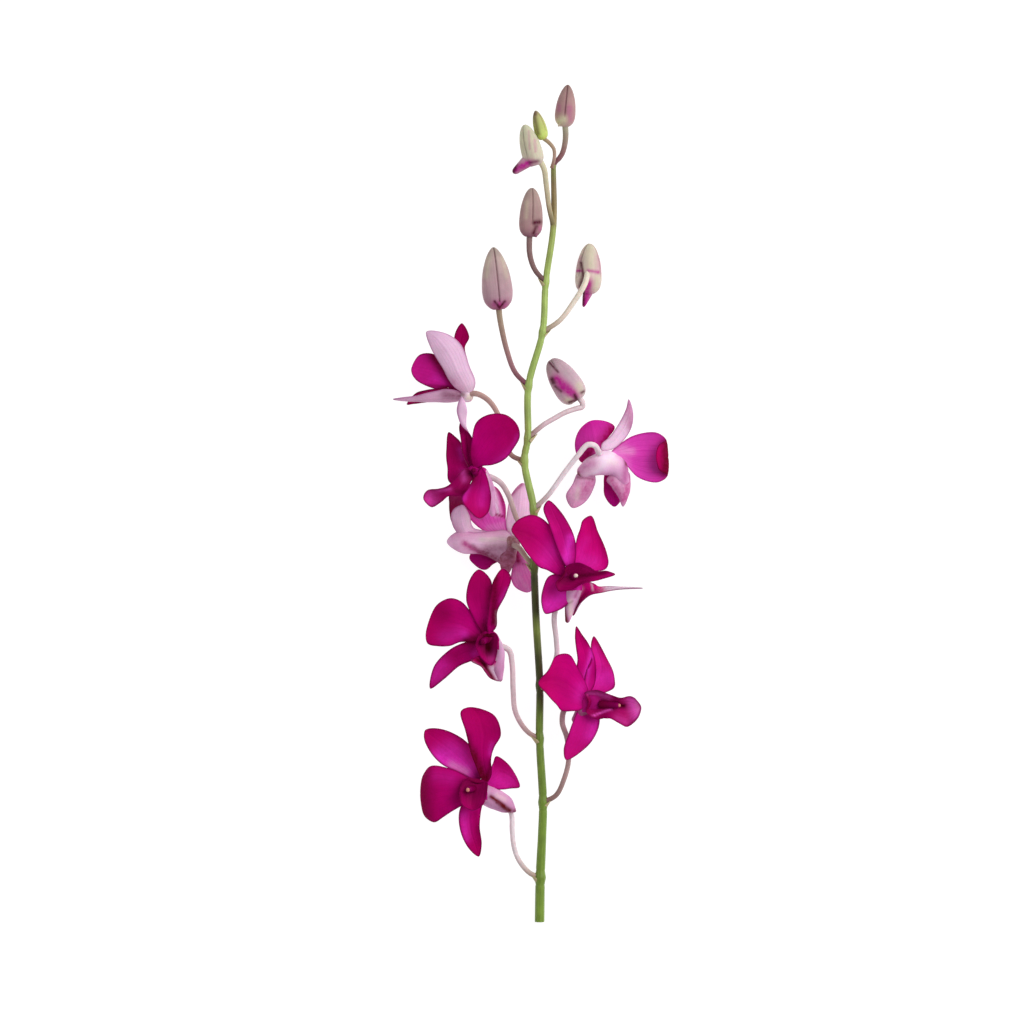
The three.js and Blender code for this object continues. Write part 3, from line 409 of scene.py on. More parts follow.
def bract_tree():
    """Puts a small pointed scale, hollowed like a spoon, on each point, facing as it says."""
    tree, given = new_tree("bracts", [
        ("Length", "Float"), ("Width", "Float"), ("Seed", "Int"), ("Skin", "Material")])
    grid = add_node(tree, "GeometryNodeMeshGrid", links={
        "Size X": 1.0, "Size Y": 1.0, "Vertices X": 13, "Vertices Y": 11})
    place = add_node(tree, "GeometryNodeInputPosition")
    xyz = add_node(tree, "ShaderNodeSeparateXYZ", links={0: place.outputs[0]})
    reach = calculated(tree, "ADD", xyz.outputs["X"], 0.5)
    narrow = calculated(tree, "POWER", reach, BRACT_TAPER)
    side = product(tree, xyz.outputs["Y"], calculated(tree, "SUBTRACT", 1 + BRACT_TIP, narrow))
    deep = product(tree, product(tree, side, side), given.outputs["Width"])
    spoon = add_node(tree, "ShaderNodeCombineXYZ", links={
        "X": product(tree, reach, given.outputs["Length"]),
        "Y": product(tree, side, given.outputs["Width"]), "Z": product(tree, deep, -BRACT_CUP)})
    front = add_node(tree, "GeometryNodeSetPosition", links={
        "Geometry": grid.outputs["Mesh"], "Position": spoon.outputs[0]})
    thick = add_node(tree, "GeometryNodeExtrudeMesh", {"mode": "FACES"}, {
        "Mesh": front.outputs[0], "Offset Scale": BRACT_THICKNESS, "Individual": False})
    back = add_node(tree, "GeometryNodeFlipFaces", links={0: front.outputs[0]})
    closed = add_node(tree, "GeometryNodeJoinGeometry")
    for part in (thick, back):
        tree.links.new(part.outputs[0], closed.inputs[0])
    whole = add_node(tree, "GeometryNodeMergeByDistance", links={
        "Geometry": closed.outputs[0], "Distance": 0.01 * MM})
    turn = add_node(tree, "FunctionNodeAxesToRotation",
                    {"primary_axis": "X", "secondary_axis": "Z"},
                    {0: named(tree, "towards", "FLOAT_VECTOR"),
                     1: named(tree, "outward", "FLOAT_VECTOR")})
    size = add_node(tree, "FunctionNodeRandomValue", {"data_type": "FLOAT"}, {
        2: BRACT_SIZES[0], 3: BRACT_SIZES[1], "Seed": given.outputs["Seed"]})
    placed = add_node(tree, "GeometryNodeInstanceOnPoints", links={
        "Points": given.outputs["Geometry"], "Instance": whole.outputs[0],
        "Rotation": turn.outputs[0], "Scale": size.outputs[1]})
    end_tree(tree, placed.outputs[0], given.outputs["Skin"])
    return tree


def mixed(tree, share, first, second):
    """The first colour, with a share of the second in it."""
    return add_node(tree, "ShaderNodeMix", {"data_type": "RGBA"},
                    {0: share, 6: first, 7: second}).outputs[2]


# Dry bract: thin, papery and cream, browner in streaks
bract_skin, tree = new_material("papery_bract")
position = add_node(tree, "ShaderNodeTexCoord").outputs["Object"]
streaks = noise(tree, position, scale=900.0, detail=3.0)
add_surface(tree, {
    "Base Color": mixed(tree, streaks, linear("#a39468"), linear("#cdbf94")),
    "Roughness": 0.7, "IOR": 1.45})

starts, facings, outwards = [], [], []
for index, towards in NODES:
    node, radius = np.array(STEM[index][0]), STEM[index][1]
    stem_way = unit(np.array(STEM[index + 1][0]) - np.array(STEM[index - 1][0]))
    towards = unit(towards)
    out = unit(towards - stem_way * (towards @ stem_way))
    starts.append((node + out * radius * BRACT_AWAY - stem_way * BRACT_BELOW) * MM)
    facings.append(out * BRACT_LEAN + stem_way * BRACT_RISE)
    outwards.append(out)
bract_points = bpy.data.meshes.new("bract_points")
bract_points.from_pydata([tuple(p) for p in starts], [], [])
for name, values in (("towards", facings), ("outward", outwards)):
    attribute = bract_points.attributes.new(name, "FLOAT_VECTOR", "POINT")
    attribute.data.foreach_set("vector", np.array(values, np.float32).ravel())
bracts = made_by(bract_tree(), "bracts", bract_points,
                 {"Length": BRACT_LENGTH, "Width": BRACT_WIDTH, "Seed": BRACT_SEED,
                  "Skin": bract_skin})
settle(stem, ["rachis"])
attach(bracts, "root")


# The stalks
# Each bloom and bud hangs on a soft stalk of its own, about 2 mm thick, that leaves the stem at a
# node and swells into the ribbed ovary behind the bloom. They are pale pink to mauve, and those of
# the youngest buds greener.

STALKS = {
    "bloom_1": [
        (3.8, -164.5, 4.5), (-0.7, -162.6, 5.5), (-5.1, -157.7, 8), (-7.5, -152, 10),
        (-8.5, -144, 11.5), (-9, -136, 12), (-14, -129, 13), (-23, -126, 16)],
    "bloom_2": [
        (5, -131.5, 9), (10.8, -128.3, 10.5), (14.3, -121.2, 12), (16.3, -112.9, 13),
        (15.6, -103.2, 13.5), (13.5, -96, 13.5), (15, -90, 14), (25, -87, 16)],
    "bloom_3": [
        (3.5, -103.5, 13), (-1, -101, 13.5), (-4.5, -97, 14), (-7.3, -90.9, 15.5), (-8.1, -82, 17),
        (-8.6, -70, 18.5), (-10, -64.5, 19), (-17, -61.5, 20)],
    "bloom_4": [
        (3.6, -80, 16), (8, -74, 16.5), (11, -67, 17.5), (10.9, -60, 19), (10, -50, 21),
        (12, -42, 22.5), (17, -35, 25)],
    "bloom_5": [(1.1, -28, 21.5), (-2.5, -23.5, 20.5), (-5.5, -19.5, 18.5), (-9, -18, 13.5)],
    "bloom_6": [
        (1, -16, 22.3), (-2.5, -11.5, 21.5), (-6.3, -7, 21.5), (-8.3, -1.5, 22.5), (-10.3, 4, 24),
        (-13.5, 9, 26), (-17.5, 11.5, 27.5), (-24, 13.5, 30)],
    "bloom_7": [
        (0.9, -2.5, 23), (7.3, 3.7, 24), (14.7, 13.9, 25.5), (20.5, 21.3, 26.5), (24.6, 25.8, 26.8),
        (27.6, 25.6, 26), (30, 22, 21)],
    "bloom_8": [
        (-3.2, 18.7, 23.5), (-9, 21.5, 22), (-12.5, 31, 20), (-15.3, 40.3, 18.5),
        (-19.2, 45.6, 17.5), (-24, 48.3, 16.5), (-29, 48, 13.5)],
    "bud_1": [
        (-1.7, 28.8, 23.5), (5, 34.5, 22.6), (10, 37.5, 21.4), (15, 40.2, 20), (20, 41.9, 18.4),
        (22.3, 42.6, 17.6), (22.4, 44.4, 17.7), (20.6, 47, 18)],
    "bud_2": [
        (-1.4, 51.7, 23), (-7.3, 57.9, 21.5), (-10.9, 67.5, 19), (-13.7, 80, 16.5),
        (-14.6, 87, 16)],
    "bud_3": [
        (4.8, 75.5, 22), (12.5, 80.7, 19.5), (19.1, 89.5, 16), (23.4, 96.6, 13.2), (25, 103, 9)],
    "bud_4": [(6.2, 97.5, 21), (1.6, 102.7, 22.5), (-0.7, 109.3, 23.5), (-0.9, 120, 24)],
    "bud_5": [
        (9.6, 122.5, 20), (7.8, 130, 22.2), (6.5, 140, 22.5), (5.4, 147.5, 22.8), (2.6, 152.5, 23)],
    "bud_6": [
        (8.9, 147.6, 20.4), (9.7, 150.5, 20.5), (10.1, 153.2, 20.5), (9.8, 156, 20.6),
        (8, 158.5, 20.6), (4.8, 161.1, 20.5)],
    "bud_7": [
        (9.6, 148.6, 17.7), (10.4, 150.2, 17.6), (12.2, 152, 17.6), (13.6, 154.3, 17.4),
        (14.6, 158, 17.2), (15, 162, 16.9), (14.7, 168, 16.5)],
}
STALK_RADIUS = 1.05
OVARY_RADIUS = 1.32
STALK_RINGS = 110
STALK_SIDES = 24
STALK_RIDGES = 6.0
STALK_RIDGE_HEIGHT = 0.05 * MM
# How much thicker a stalk is at the stem, and the share of its length that this takes up
FOOT_SWELLING = 0.25
FOOT_SHARE = 0.05
THIN_STALKS = {"bud_6": 0.67}

# The colour of each stalk at the stem, in its middle and at its bloom or bud
STALK_TINTS = {
    "bloom_1": ("#b49a88", "#ecdade", "#f0dfe6"),
    "bloom_2": ("#8c6a64", "#b0908e", "#b08c90"),
    "bloom_3": ("#a8847c", "#dcc0c4", "#e4ccd2"),
    "bloom_4": ("#a8908a", "#dccace", "#d8bcc6"),
    "bloom_5": ("#9a9468", "#b8ac92", "#c0a8a4"),
    "bloom_6": ("#8a7262", "#b8a098", "#d4bcc4"),
    "bloom_7": ("#b09890", "#ecdce2", "#ecd8e0"),
    "bloom_8": ("#8a6a5e", "#b08c84", "#bc9a92"),
    "bud_1": ("#9a7c70", "#d8bcc4", "#e2ccd0"),
    "bud_2": ("#7c4454", "#9c6c74", "#a08c76"),
    "bud_3": ("#927c64", "#d6c6b8", "#e6dccb"),
    "bud_4": ("#6c4c4c", "#80605f", "#8c6e6c"),
    "bud_5": ("#80744e", "#b8aa8c", "#d0c8a8"),
    "bud_6": ("#8c6858", "#b09084", "#a89474"),
    "bud_7": ("#744450", "#8a5c60", "#a09c84"),
}


def stalk_skin(name, low, middle, high):
    """Live stalk skin: satin, tinted along its length, with a faint mottle."""
    material, tree = new_material(name)
    tint = graded(tree, stored(tree, "along"), ((0.03, low), (0.3, middle), (0.9, high)))
    position = add_node(tree, "ShaderNodeTexCoord").outputs["Object"]
    mottle = noise(tree, position, scale=420.0, detail=4.0)
    add_surface(tree, {
        "Base Color": scaled(tree, tint, spread(tree, mottle, (0.3, 0.7), (0.9, 1.06))),
        "Roughness": 0.5, "IOR": 1.4, "Specular IOR Level": 0.35, "Subsurface Weight": 0.2,
        "Subsurface Radius": (1.0, 0.5, 0.5), "Subsurface Scale": 0.8 * MM,
        "Normal": relief(tree, mottle, strength=0.25, depth=0.08 * MM)})
    return material


for name, path in STALKS.items():
    shares = np.linspace(0, 1, STALK_RINGS)
    swelling = np.exp(-(shares / FOOT_SHARE) ** 2)
    radii = STALK_RADIUS + (OVARY_RADIUS - STALK_RADIUS) * shares ** 2 + FOOT_SWELLING * swelling
    radii *= THIN_STALKS.get(name, 1)
    stalk = made_by(ridged_stalk, f"stalk_of_{name}",
                    middle_line(name, smooth_curve(path, shares) * MM, radii * MM),
                    {"Sides": STALK_SIDES, "Ridges": STALK_RIDGES,
                     "Ridge Height": STALK_RIDGE_HEIGHT,
                     "Skin": stalk_skin(f"satin_stalk_skin_of_{name}", *STALK_TINTS[name])})
    settle(stalk, [f"{name}_stalk"])


# Sepals and petals
# Each bloom has three pointed sepals and two broader petals: thin, fleshy blades with a velvety
# magenta face, a pale back and fine veins that fan out from the base. They grow together round
# the ovary, and the two lower sepals end in a short chin behind the bloom.

# The middle of each bloom, which its blades, chin, lip and column are set out from
CENTRES = {
    "bloom_1": (-26, -125, 22),
    "bloom_2": (26, -86, 20),
    "bloom_3": (-20, -60, 24),
    "bloom_4": (18, -33, 30),
    "bloom_5": (-7, -17, 15),
    "bloom_6": (-24, 12, 34),
    "bloom_7": (29, 23, 20),
    "bloom_8": (-26, 47, 16),
}

# Every blade runs from its base to its tip between a left and a right edge, as seen from its
# face. Its middle lies behind the edges by cup times its width.
TEPALS = {
    "bloom_1": {
        "left_petal": {
            "base": (1, -1, -3.5), "tip": (-22.6, -2, -10), "cup": -0.05,
            "left": [(-2, -6.5, -3), (-6.5, -9, -2.5), (-12.5, -12.7, -4), (-17, -15.3, -6),
                     (-21.2, -12, -9)],
            "right": [(-1, 3.6, -3), (-6, 6.9, -1.8), (-12, 9, -3.5), (-18, 9.6, -6),
                      (-21.8, 5.8, -9)]},
        "right_petal": {
            "base": (5, 0, -2.5), "tip": (-1.5, 35.4, 0.5), "cup": 0.1,
            "left": [(3.9, 3.4, -1), (2, 8, 0.4), (-0.8, 15.5, 2), (-3.2, 25, 2.2),
                     (-5.2, 33.4, 0.5)],
            "right": [(8.4, 5.5, -1), (8.2, 12.2, 0.8), (9.6, 17.6, 3), (12.6, 23.5, 4.5),
                      (9.5, 32, 3)]},
        "dorsal_sepal": {
            "base": (2.5, 0.5, -4), "tip": (-20.8, 25.3, -7), "cup": 0.05,
            "left": [(-2, 4.6, -3.2), (-7, 7.2, -3), (-13, 9.9, -4), (-18.5, 15.5, -5.5),
                     (-21.3, 21.5, -6.5)],
            "right": [(4, 6, -3), (3, 12, -2.6), (-2.2, 19.8, -3), (-10.5, 24.9, -5),
                      (-17.5, 26.2, -6.5)]},
        "left_lateral_sepal": {
            "base": (0, -3, -4), "tip": (2.8, -30.3, -8), "cup": 0.08,
            "left": [(4.2, -6, -4), (3.7, -11, -4), (3.2, -17, -4.5), (4.1, -25, -6.5)],
            "right": [(-5, -8, -4), (-6.1, -14.3, -3.5), (-4.4, -22, -5.5), (-1, -27.6, -7.5)]},
        "right_lateral_sepal": {
            "base": (4, -1, -4.5), "tip": (20.8, 0.3, -5), "cup": 0.05,
            "left": [(7, 6, -4), (9.1, 11, -3.4), (10.4, 13.9, -3), (16, 10.2, -3.5)],
            "right": [(7, -0.9, -4.8), (10.5, -0.9, -5), (14, -0.8, -5.3), (17.5, -0.4, -5.3)]}},
    "bloom_2": {
        "left_petal": {
            "base": (0, 0, -1), "tip": (-23, 7, 7), "cup": 0.06,
            "left": [(-4, -4.6, -0.5), (-8.5, -5.4, 2), (-12.5, -5.2, 4), (-15.5, -2.2, 5.3),
                     (-19.5, 2.3, 6.4)],
            "right": [(-2, 7, 0), (-5.5, 14, 1.2), (-9.8, 19.8, 3), (-15.3, 18.9, 5),
                      (-18, 13.6, 6.4)]},
        "right_petal": {
            "base": (0.5, 0, -2), "tip": (1.4, 27.6, -2), "cup": 0.1,
            "left": [(-2.6, 6, -0.8), (-2, 12, -0.5), (0.3, 18, -0.6), (0.2, 24.3, -1.2)],
            "right": [(6, 2.5, -3.4), (10.2, 5, -5), (10.4, 11, -5.4), (5.2, 21.8, -3.6)]},
        "dorsal_sepal": {
            "base": (-1, 1, -1.5), "tip": (-6.3, 32, 3), "cup": 0.08,
            "left": [(-4.3, 7, -0.8), (-6, 13, 0.8), (-6, 18, 1.8), (-6.7, 24, 2.6),
                     (-6.9, 28.5, 3)],
            "right": [(2, 7, -1.8), (2.4, 13, -1.6), (1.6, 19, -0.6), (-0.9, 24.4, 1.2),
                      (-3.7, 28.4, 2.5)]},
        "left_lateral_sepal": {
            "base": (0, -1, -2.5), "tip": (-10.8, -26.8, -2.5), "cup": 0.08,
            "left": [(3.5, -6, -2.5), (4, -10.5, -2.2), (2.2, -16, -2), (-3, -22.3, -2)],
            "right": [(-5, -4, -2), (-8, -10.5, -0.8), (-10, -16, -0.8), (-11.9, -22.5, -1.8)]},
        "right_lateral_sepal": {
            "base": (1, -4, -3), "tip": (8, -6, -17), "cup": 0.1,
            "left": [(5, -1, -7), (8, -1, -13)], "right": [(4, -8, -8), (9, -8.3, -13)]}},
    "bloom_3": {
        "left_petal": {
            "base": (0, 0.5, -3.5), "tip": (-26.5, 3, -7.5), "cup": 0.04,
            "left": [(-6, -0.9, -3), (-11.5, -1, -3), (-16, -2.7, -3.6), (-21, -2.8, -5),
                     (-25.8, -1.6, -7)],
            "right": [(-3, 6.5, -3.4), (-6.8, 12.5, -3), (-11, 17, -4), (-16, 18.4, -5),
                      (-22, 15, -6.5)]},
        "right_petal": {
            "base": (1, 1.5, -1.5), "tip": (7.3, 31.4, 4.5), "cup": 0.12,
            "left": [(0.2, 6.5, 0.5), (1, 13, 1.7), (1.8, 19.5, 2.6), (3.6, 27, 3.6)],
            "right": [(4.6, 6, -0.5), (5, 12.5, 1.5), (9, 20.5, 4.6), (10.9, 28, 5.5)]},
        "dorsal_sepal": {
            "base": (-0.5, 1.5, -2.8), "tip": (-3.2, 31, -2), "cup": 0.06,
            "left": [(-4, 6.5, -2.2), (-7, 12.3, -2), (-8.8, 18, -2.2), (-7.3, 26.5, -2.2)],
            "right": [(2.2, 6.5, -1), (3, 13, -0.8), (3, 19, -0.8), (2, 26.6, -1.2)]},
        "left_lateral_sepal": {
            "base": (0.5, -2, -3.5), "tip": (-24.6, -21.4, -8), "cup": 0.08,
            "left": [(-3, -8.2, -3), (-7.5, -9.7, -3.2), (-12, -11.7, -4.2), (-18.5, -17.3, -6.2)],
            "right": [(-6, -0.4, -3.4), (-11.5, -1.8, -3.3), (-16.5, -4.6, -4),
                      (-23, -11.7, -6.2)]},
        "right_lateral_sepal": {
            "base": (6, -13, -3), "tip": (-6.5, -9.2, 6), "cup": 0.12,
            "left": [(6.5, -18, -3.5), (1.5, -16.8, 0), (-1.6, -12.2, 4.5)],
            "right": [(4, -9, -2), (0.5, -8.4, 1.5), (-2.8, -7, 3.4)]}},
    "bloom_4": {
        "left_petal": {
            "base": (-1, 0, -3), "tip": (-26.8, 21.3, 4), "cup": 0.05,
            "left": [(-7.2, 1.6, -2), (-11, 3.6, -0.5), (-15, 5.2, 1.6), (-19, 9.8, 2.8),
                     (-23.5, 16.3, 3.8)],
            "right": [(-4.2, 8, -1), (-7.2, 16, 0.6), (-11, 24.6, 1.5), (-17.5, 28.1, 2.4),
                      (-24.6, 25.4, 3.6)]},
        "right_petal": {
            "base": (1.5, 0.5, -2.8), "tip": (8.3, 27.6, -3), "cup": 0.08,
            "left": [(0.2, 7, -1), (1.2, 14, -0.8), (2.8, 20.5, -1.2), (4.6, 25.8, -2)],
            "right": [(7.5, 2.8, -3.4), (15, 4.4, -6), (15.4, 10.5, -6.2), (11.2, 21, -4.4)]},
        "dorsal_sepal": {
            "base": (-1, 1.5, -2), "tip": (-10.6, 34.4, 4), "cup": 0.07,
            "left": [(-5, 9, 0.8), (-8, 16.5, 2), (-10.5, 24, 3), (-12.8, 31, 4)],
            "right": [(1.4, 8, -0.2), (1.5, 15, 0.6), (0.2, 20.3, 1.6), (-5.2, 29.6, 3.4)]},
        "left_lateral_sepal": {
            "base": (-1.5, -1, -3.5), "tip": (-12, -15.4, -3.5), "cup": 0.08,
            "left": [(1, -5.5, -3.2), (-1, -9.8, -2.6), (-3.3, -12.4, -2.6), (-7.5, -14.6, -3)],
            "right": [(-6.5, 2, -3.2), (-10.6, 0.9, -3), (-13.2, -5, -3.2), (-13.7, -10.8, -3.5)]},
        "right_lateral_sepal": {
            "base": (1.5, -6, -4.2), "tip": (31, -4.2, -11), "cup": 0.05,
            "left": [(5.2, -1.6, -5.5), (8.8, -1.6, -7), (12, -3.4, -9), (21, -3.4, -11)],
            "right": [(0.2, -16.4, -5), (3.4, -11, -2), (9.6, -6.6, 1), (20, -4.7, -4)]}},
    "bloom_5": {
        "left_petal": {
            "base": (-3, 1, -4), "tip": (-18, 24, -7), "cup": 0.06,
            "left": [(-4.3, 9, -5), (-4.6, 17, -6), (-9, 24.5, -7)],
            "right": [(-14.5, 5.3, -6), (-19.5, 9.5, -7), (-24, 15.5, -7)]},
        "right_petal": {
            "base": (-1, -2, -3), "tip": (5.5, -22, -7), "cup": 0.08,
            "left": [(-1.2, -9, -5), (-2, -16, -6), (0, -20, -6.5)],
            "right": [(4, -6, -5), (8, -12, -6), (9.5, -18, -7)]},
        "dorsal_sepal": {
            "base": (-1, 1, -3), "tip": (3, 26, -7), "cup": 0.08,
            "left": [(5, 8, -5), (7, 16, -6), (6.5, 23, -6.5)],
            "right": [(-4.2, 6, -5), (-3.8, 13, -6), (-1.9, 21, -7)]},
        "left_lateral_sepal": {
            "base": (1, 0, -2), "tip": (-30.2, 0.2, -3), "cup": 0.28,
            "left": [(-4, 5.2, -3.5), (-10, 5, -3), (-17.5, 4.3, -2), (-25.5, 4.8, -2.2)],
            "right": [(-3, -12.5, -6), (-8.5, -8.5, -4), (-15, -5.4, -2.5), (-24, -4.7, -2.7)]},
        "right_lateral_sepal": {
            "base": (-4, 0, -5), "tip": (-23.5, 16.5, 4.5), "cup": 0.12,
            "left": [(-13, 5, -4.5), (-18.5, 6.5, -2.5), (-20.3, 12, 1)],
            "right": [(-14, -1, -5), (-22, 1, -4), (-27.6, 7, 0), (-28, 13.5, 3.5)]}},
    "bloom_6": {
        "left_petal": {
            "base": (-2, 0, -4), "tip": (-12.5, 19.4, -5), "cup": 0.1,
            "left": [(-7, -4, -4.5), (-12.3, -2.5, -4.8), (-13.2, 4, -5.5), (-13.5, 12, -5.5)],
            "right": [(-2.5, 6, -3.4), (-4.5, 10, -3.2), (-6.8, 14.6, -3.6), (-9.6, 17.5, -4.4)]},
        "right_petal": {
            "base": (-1, 2, -3), "tip": (17.4, 23, 7), "cup": 0.06,
            "left": [(-3, 9, -0.5), (-2.2, 16.8, 1), (-0.5, 23.6, 2.5), (5, 27.2, 4),
                     (12.5, 27.2, 6)],
            "right": [(2, 4.3, -0.5), (7, 5, 1.8), (12.5, 7.6, 4), (16, 12, 5.5), (18.9, 18, 7)]},
        "dorsal_sepal": {
            "base": (-2.5, 2, -4), "tip": (-7, 35, 0), "cup": 0.42,
            "left": [(-6.3, 10, -1), (-7.2, 16.5, -0.5), (-7.9, 23, -2.5), (-5, 29, -2.8)],
            "right": [(-1, 9, -1.5), (-2, 16.6, -0.8), (-6.6, 22.4, 2.6), (-9, 29, 1.5)]},
        "left_lateral_sepal": {
            "base": (-2, -1, -5), "tip": (-11, -20, -27), "cup": 0.06,
            "left": [(-5, -8, -10), (-6, -13, -19), (-8, -17, -24)],
            "right": [(-11.5, -7, -9), (-12.3, -12, -18), (-12, -17, -24)]},
        "right_lateral_sepal": {
            "base": (1.8, 4.2, -1), "tip": (1, -18.6, 1), "cup": 0.08,
            "left": [(4, 1, -0.2), (5.6, -4.5, -0.2), (6.2, -10, -0.3), (5, -15.8, 0)],
            "right": [(-0.6, 0.6, 0.2), (-3.4, -4, 0.6), (-6.8, -9.8, 1.6), (-3.6, -15, 1.8)]}},
    "bloom_7": {
        "left_petal": {
            "base": (1, -1, -3), "tip": (-3, 13.3, -5.5), "cup": 0.12,
            "left": [(3.5, 4, -4), (7.6, 10.8, -4.5), (3.5, 13.3, -5)],
            "right": [(-6.8, -5, -4), (-9.9, 1.5, -5), (-8.4, 8.9, -5.5)]},
        "right_petal": {
            "base": (5, -1, -4), "tip": (25.8, -2.5, 1.4), "cup": -0.05,
            "left": [(11.5, -5, -4), (18, -11.6, -4), (26.5, -13.7, -4), (30.9, -10.8, -3),
                     (27, -8, 0.6)],
            "right": [(8.5, 2.2, -4), (16, 7, -4), (26, 8.3, -4), (30.1, 5.2, -3), (27, 3, 0.4)]},
        "dorsal_sepal": {
            "base": (1.5, 0.5, -2.5), "tip": (13.7, 22.9, 1), "cup": 0.1,
            "left": [(6.5, 0.8, -2.5), (11.5, 4.8, -2.5), (15, 10.5, -2), (15.7, 17, -1)],
            "right": [(1.8, 3.3, -2.5), (5.4, 6.5, -2.5), (9.8, 13, -2), (12.6, 18.8, 0)]},
        "left_lateral_sepal": {
            "base": (-4, -7, -3), "tip": (-11, -24.8, -4), "cup": 0.15,
            "left": [(-8.7, -9.5, -3), (-10.8, -14, -2.6), (-13.9, -19.6, -3)],
            "right": [(-0.9, -11, -4), (-1.3, -15.2, -3.6), (-5.2, -22.2, -3.8)]},
        "right_lateral_sepal": {
            "base": (9, -7, -3), "tip": (11.2, -24.3, -5), "cup": 0.18,
            "left": [(4, -12.6, -2.5), (6.2, -15.8, -2.5), (9, -19.8, -3.5)],
            "right": [(13.6, -9, -4), (14.7, -14, -5), (14, -18.5, -5.5)]}},
    "bloom_8": {
        "left_petal": {
            "base": (-3, 1, -3), "tip": (-26.9, 12, -6.5), "cup": 0.05,
            "left": [(-11, 4.2, -3), (-16.5, 3.6, -4), (-25, 7.5, -6)],
            "right": [(-10, 9.5, -2.5), (-16, 18.3, -3), (-23, 18.6, -5)]},
        "right_petal": {
            "base": (-2, 2, -3), "tip": (-4.7, 32.3, -1), "cup": 0.05,
            "left": [(-5, 15, -3), (-8, 26.5, -2)],
            "right": [(-1.5, 13, -4), (-3.3, 21.5, -3.5), (-1.4, 26.5, -2)]},
        "dorsal_sepal": {
            "base": (-1, 0, -1.5), "tip": (-20.2, 28.6, 1.5), "cup": 0.12,
            "left": [(1.3, 6, 1), (-1.3, 13.5, 3), (-5, 23, 3.5), (-12, 28, 3)],
            "right": [(-8, 4.3, 0), (-13, 12, 1), (-19, 23, 1.5)]},
        "left_lateral_sepal": {
            "base": (-2, 0, -3), "tip": (-35, -1, -6), "cup": 0.15,
            "left": [(-8, 3.3, -1), (-16, 2.6, -2), (-27, 0.3, -4)],
            "right": [(-7, -2.3, -5), (-18, -2.1, -7), (-29, -1.9, -7)]},
        "right_lateral_sepal": {
            "base": (-3, 0, -5), "tip": (-28.8, -3.4, -14.5), "cup": 0.08,
            "left": [(-9, -2, -11), (-18, -2.2, -15.5), (-25, -3, -16)],
            "right": [(-10, 3.5, -9), (-19, 3.4, -12), (-25, 1.5, -14)]}},
}
SIDES = (("left", "right"), ("right", "left"))
BLADE_THICKNESS = 0.62
BLADE_ROWS = 46
BLADE_COLUMNS = 46
# How far the rows crowd towards the ends of a blade, and the columns towards its edges
ROW_CROWDING = 0.5
COLUMN_CROWDING = 0.4
# The power by which a blade thins out to its edges and to its tip
SIDE_ROUNDING = 6
TIP_ROUNDING = 14
# The groove along the midrib: its depth, its width as a share of half the blade's, and the power
# by which it dies out at the ends. The veins stand at full height where the blade is 8 mm wide
MIDRIB_DEPTH = 0.16
MIDRIB_WIDTH = 0.07
MIDRIB_FADE = 0.5
VEIN_HEIGHT = 0.015
VEINS = 11
VEINED_WIDTH = 8
# How high a blade ruffles, how wide it is where it does so in full and the power by which it
# lies still at its ends
RUFFLE = 0.4
RUFFLED_WIDTH = 9
RUFFLE_FADE = 0.7
# Broad waves along its edges and fine ones on its rims: how many from base to tip, how high they
# are, how they slant across it and the power by which they keep to the edge. It also twists
WAVES = ((2.2, 1, 1.3, 2.5), (4.6, 0.5, -1, 5))
TWISTS = 0.9
TWIST_HEIGHT = 0.5
# The share of a blade's length to each side of a point over which its front is worked out
FRONT_STEP = 0.05
# How far in from its edges a blade has the darker colour of its rim, which is painted shade
# where the edges turn away from the light
SHADED_RIM_WIDTH = 0.6
LOOKS = ("tone", "flush", "shade", "fade", "rim")

# The chin is a core round the ovary and a row of swellings along a path behind the bloom
CHINS = {
    "bloom_1": {
        "core": (1.8, -0.6, -3.6), "core_radii": (4.4, 4.4, 3.2),
        "path": [(3, -2, -5), (9, -4.6, -6.5), (14, -7.1, -7), (18.5, -10.2, -7.5)],
        "radii": (4.4, 4.8, 4.1, 0.9)},
    "bloom_2": {
        "core": (1, -1, -2), "core_radii": (4.5, 4.5, 3.2), "path": [(-1, -2, -3), (-7, -9, -5)],
        "radii": (4, 1.5)},
    "bloom_3": {
        "core": (1.2, 0.3, -2.8), "core_radii": (4.2, 4.2, 3.2),
        "path": [(3, 1, -4), (6, -4.5, -4.5), (5.3, -12, -4.5), (6.2, -17.3, -4)],
        "radii": (2.6, 2.1, 2.9, 1.2)},
    "bloom_4": {
        "core": (0, -0.5, -3.5), "core_radii": (4.2, 4.4, 3.2),
        "path": [(1, -4, -4), (-0.5, -10, -5), (-2.2, -18.5, -5)], "radii": (3.5, 3.1, 1.15)},
    "bloom_5": {
        "core": (-2, -1, -2.5), "core_radii": (4, 4, 3),
        "path": [(-1, -1, -1), (-3.5, -7, -2), (-4.3, -12, -3)], "radii": (2.2, 3.8, 2.2)},
    "bloom_6": {
        "core": (-0.5, 1.5, -4), "core_radii": (4.2, 4, 3.2),
        "path": [(2, 1, -4), (5, -6, -5), (6.8, -16.5, -5.5)], "radii": (3.2, 3, 1.3)},
    "bloom_7": {
        "core": (3.5, -4.5, -3), "core_radii": (6.5, 5, 4),
        "path": [(-6.2, -8.8, -3), (-2.2, -6.6, -2.6), (3.5, -5.4, -2.4), (8.6, -7, -3),
                 (11.2, -12.5, -4)],
        "radii": (2.9, 4.4, 5.3, 4.6, 2.9)},
    "bloom_8": {
        "core": (-2.5, 1, -2.5), "core_radii": (3, 3, 3), "path": [(-2, 0, -4), (-4, -1, -8)],
        "radii": (2.5, 1.3)},
}
CHIN_SWELLINGS = 24
SKIN_VOXEL = 0.4
SKIN_SMOOTHING = 8
# In an open throat, the skin this far round the core and below its middle is the petals' own
THROAT_REACH = 1.12
THROAT_DEPTH = 0.5
# No point of a bloom or bud is nearer to the table than this
LOWEST = 0.05
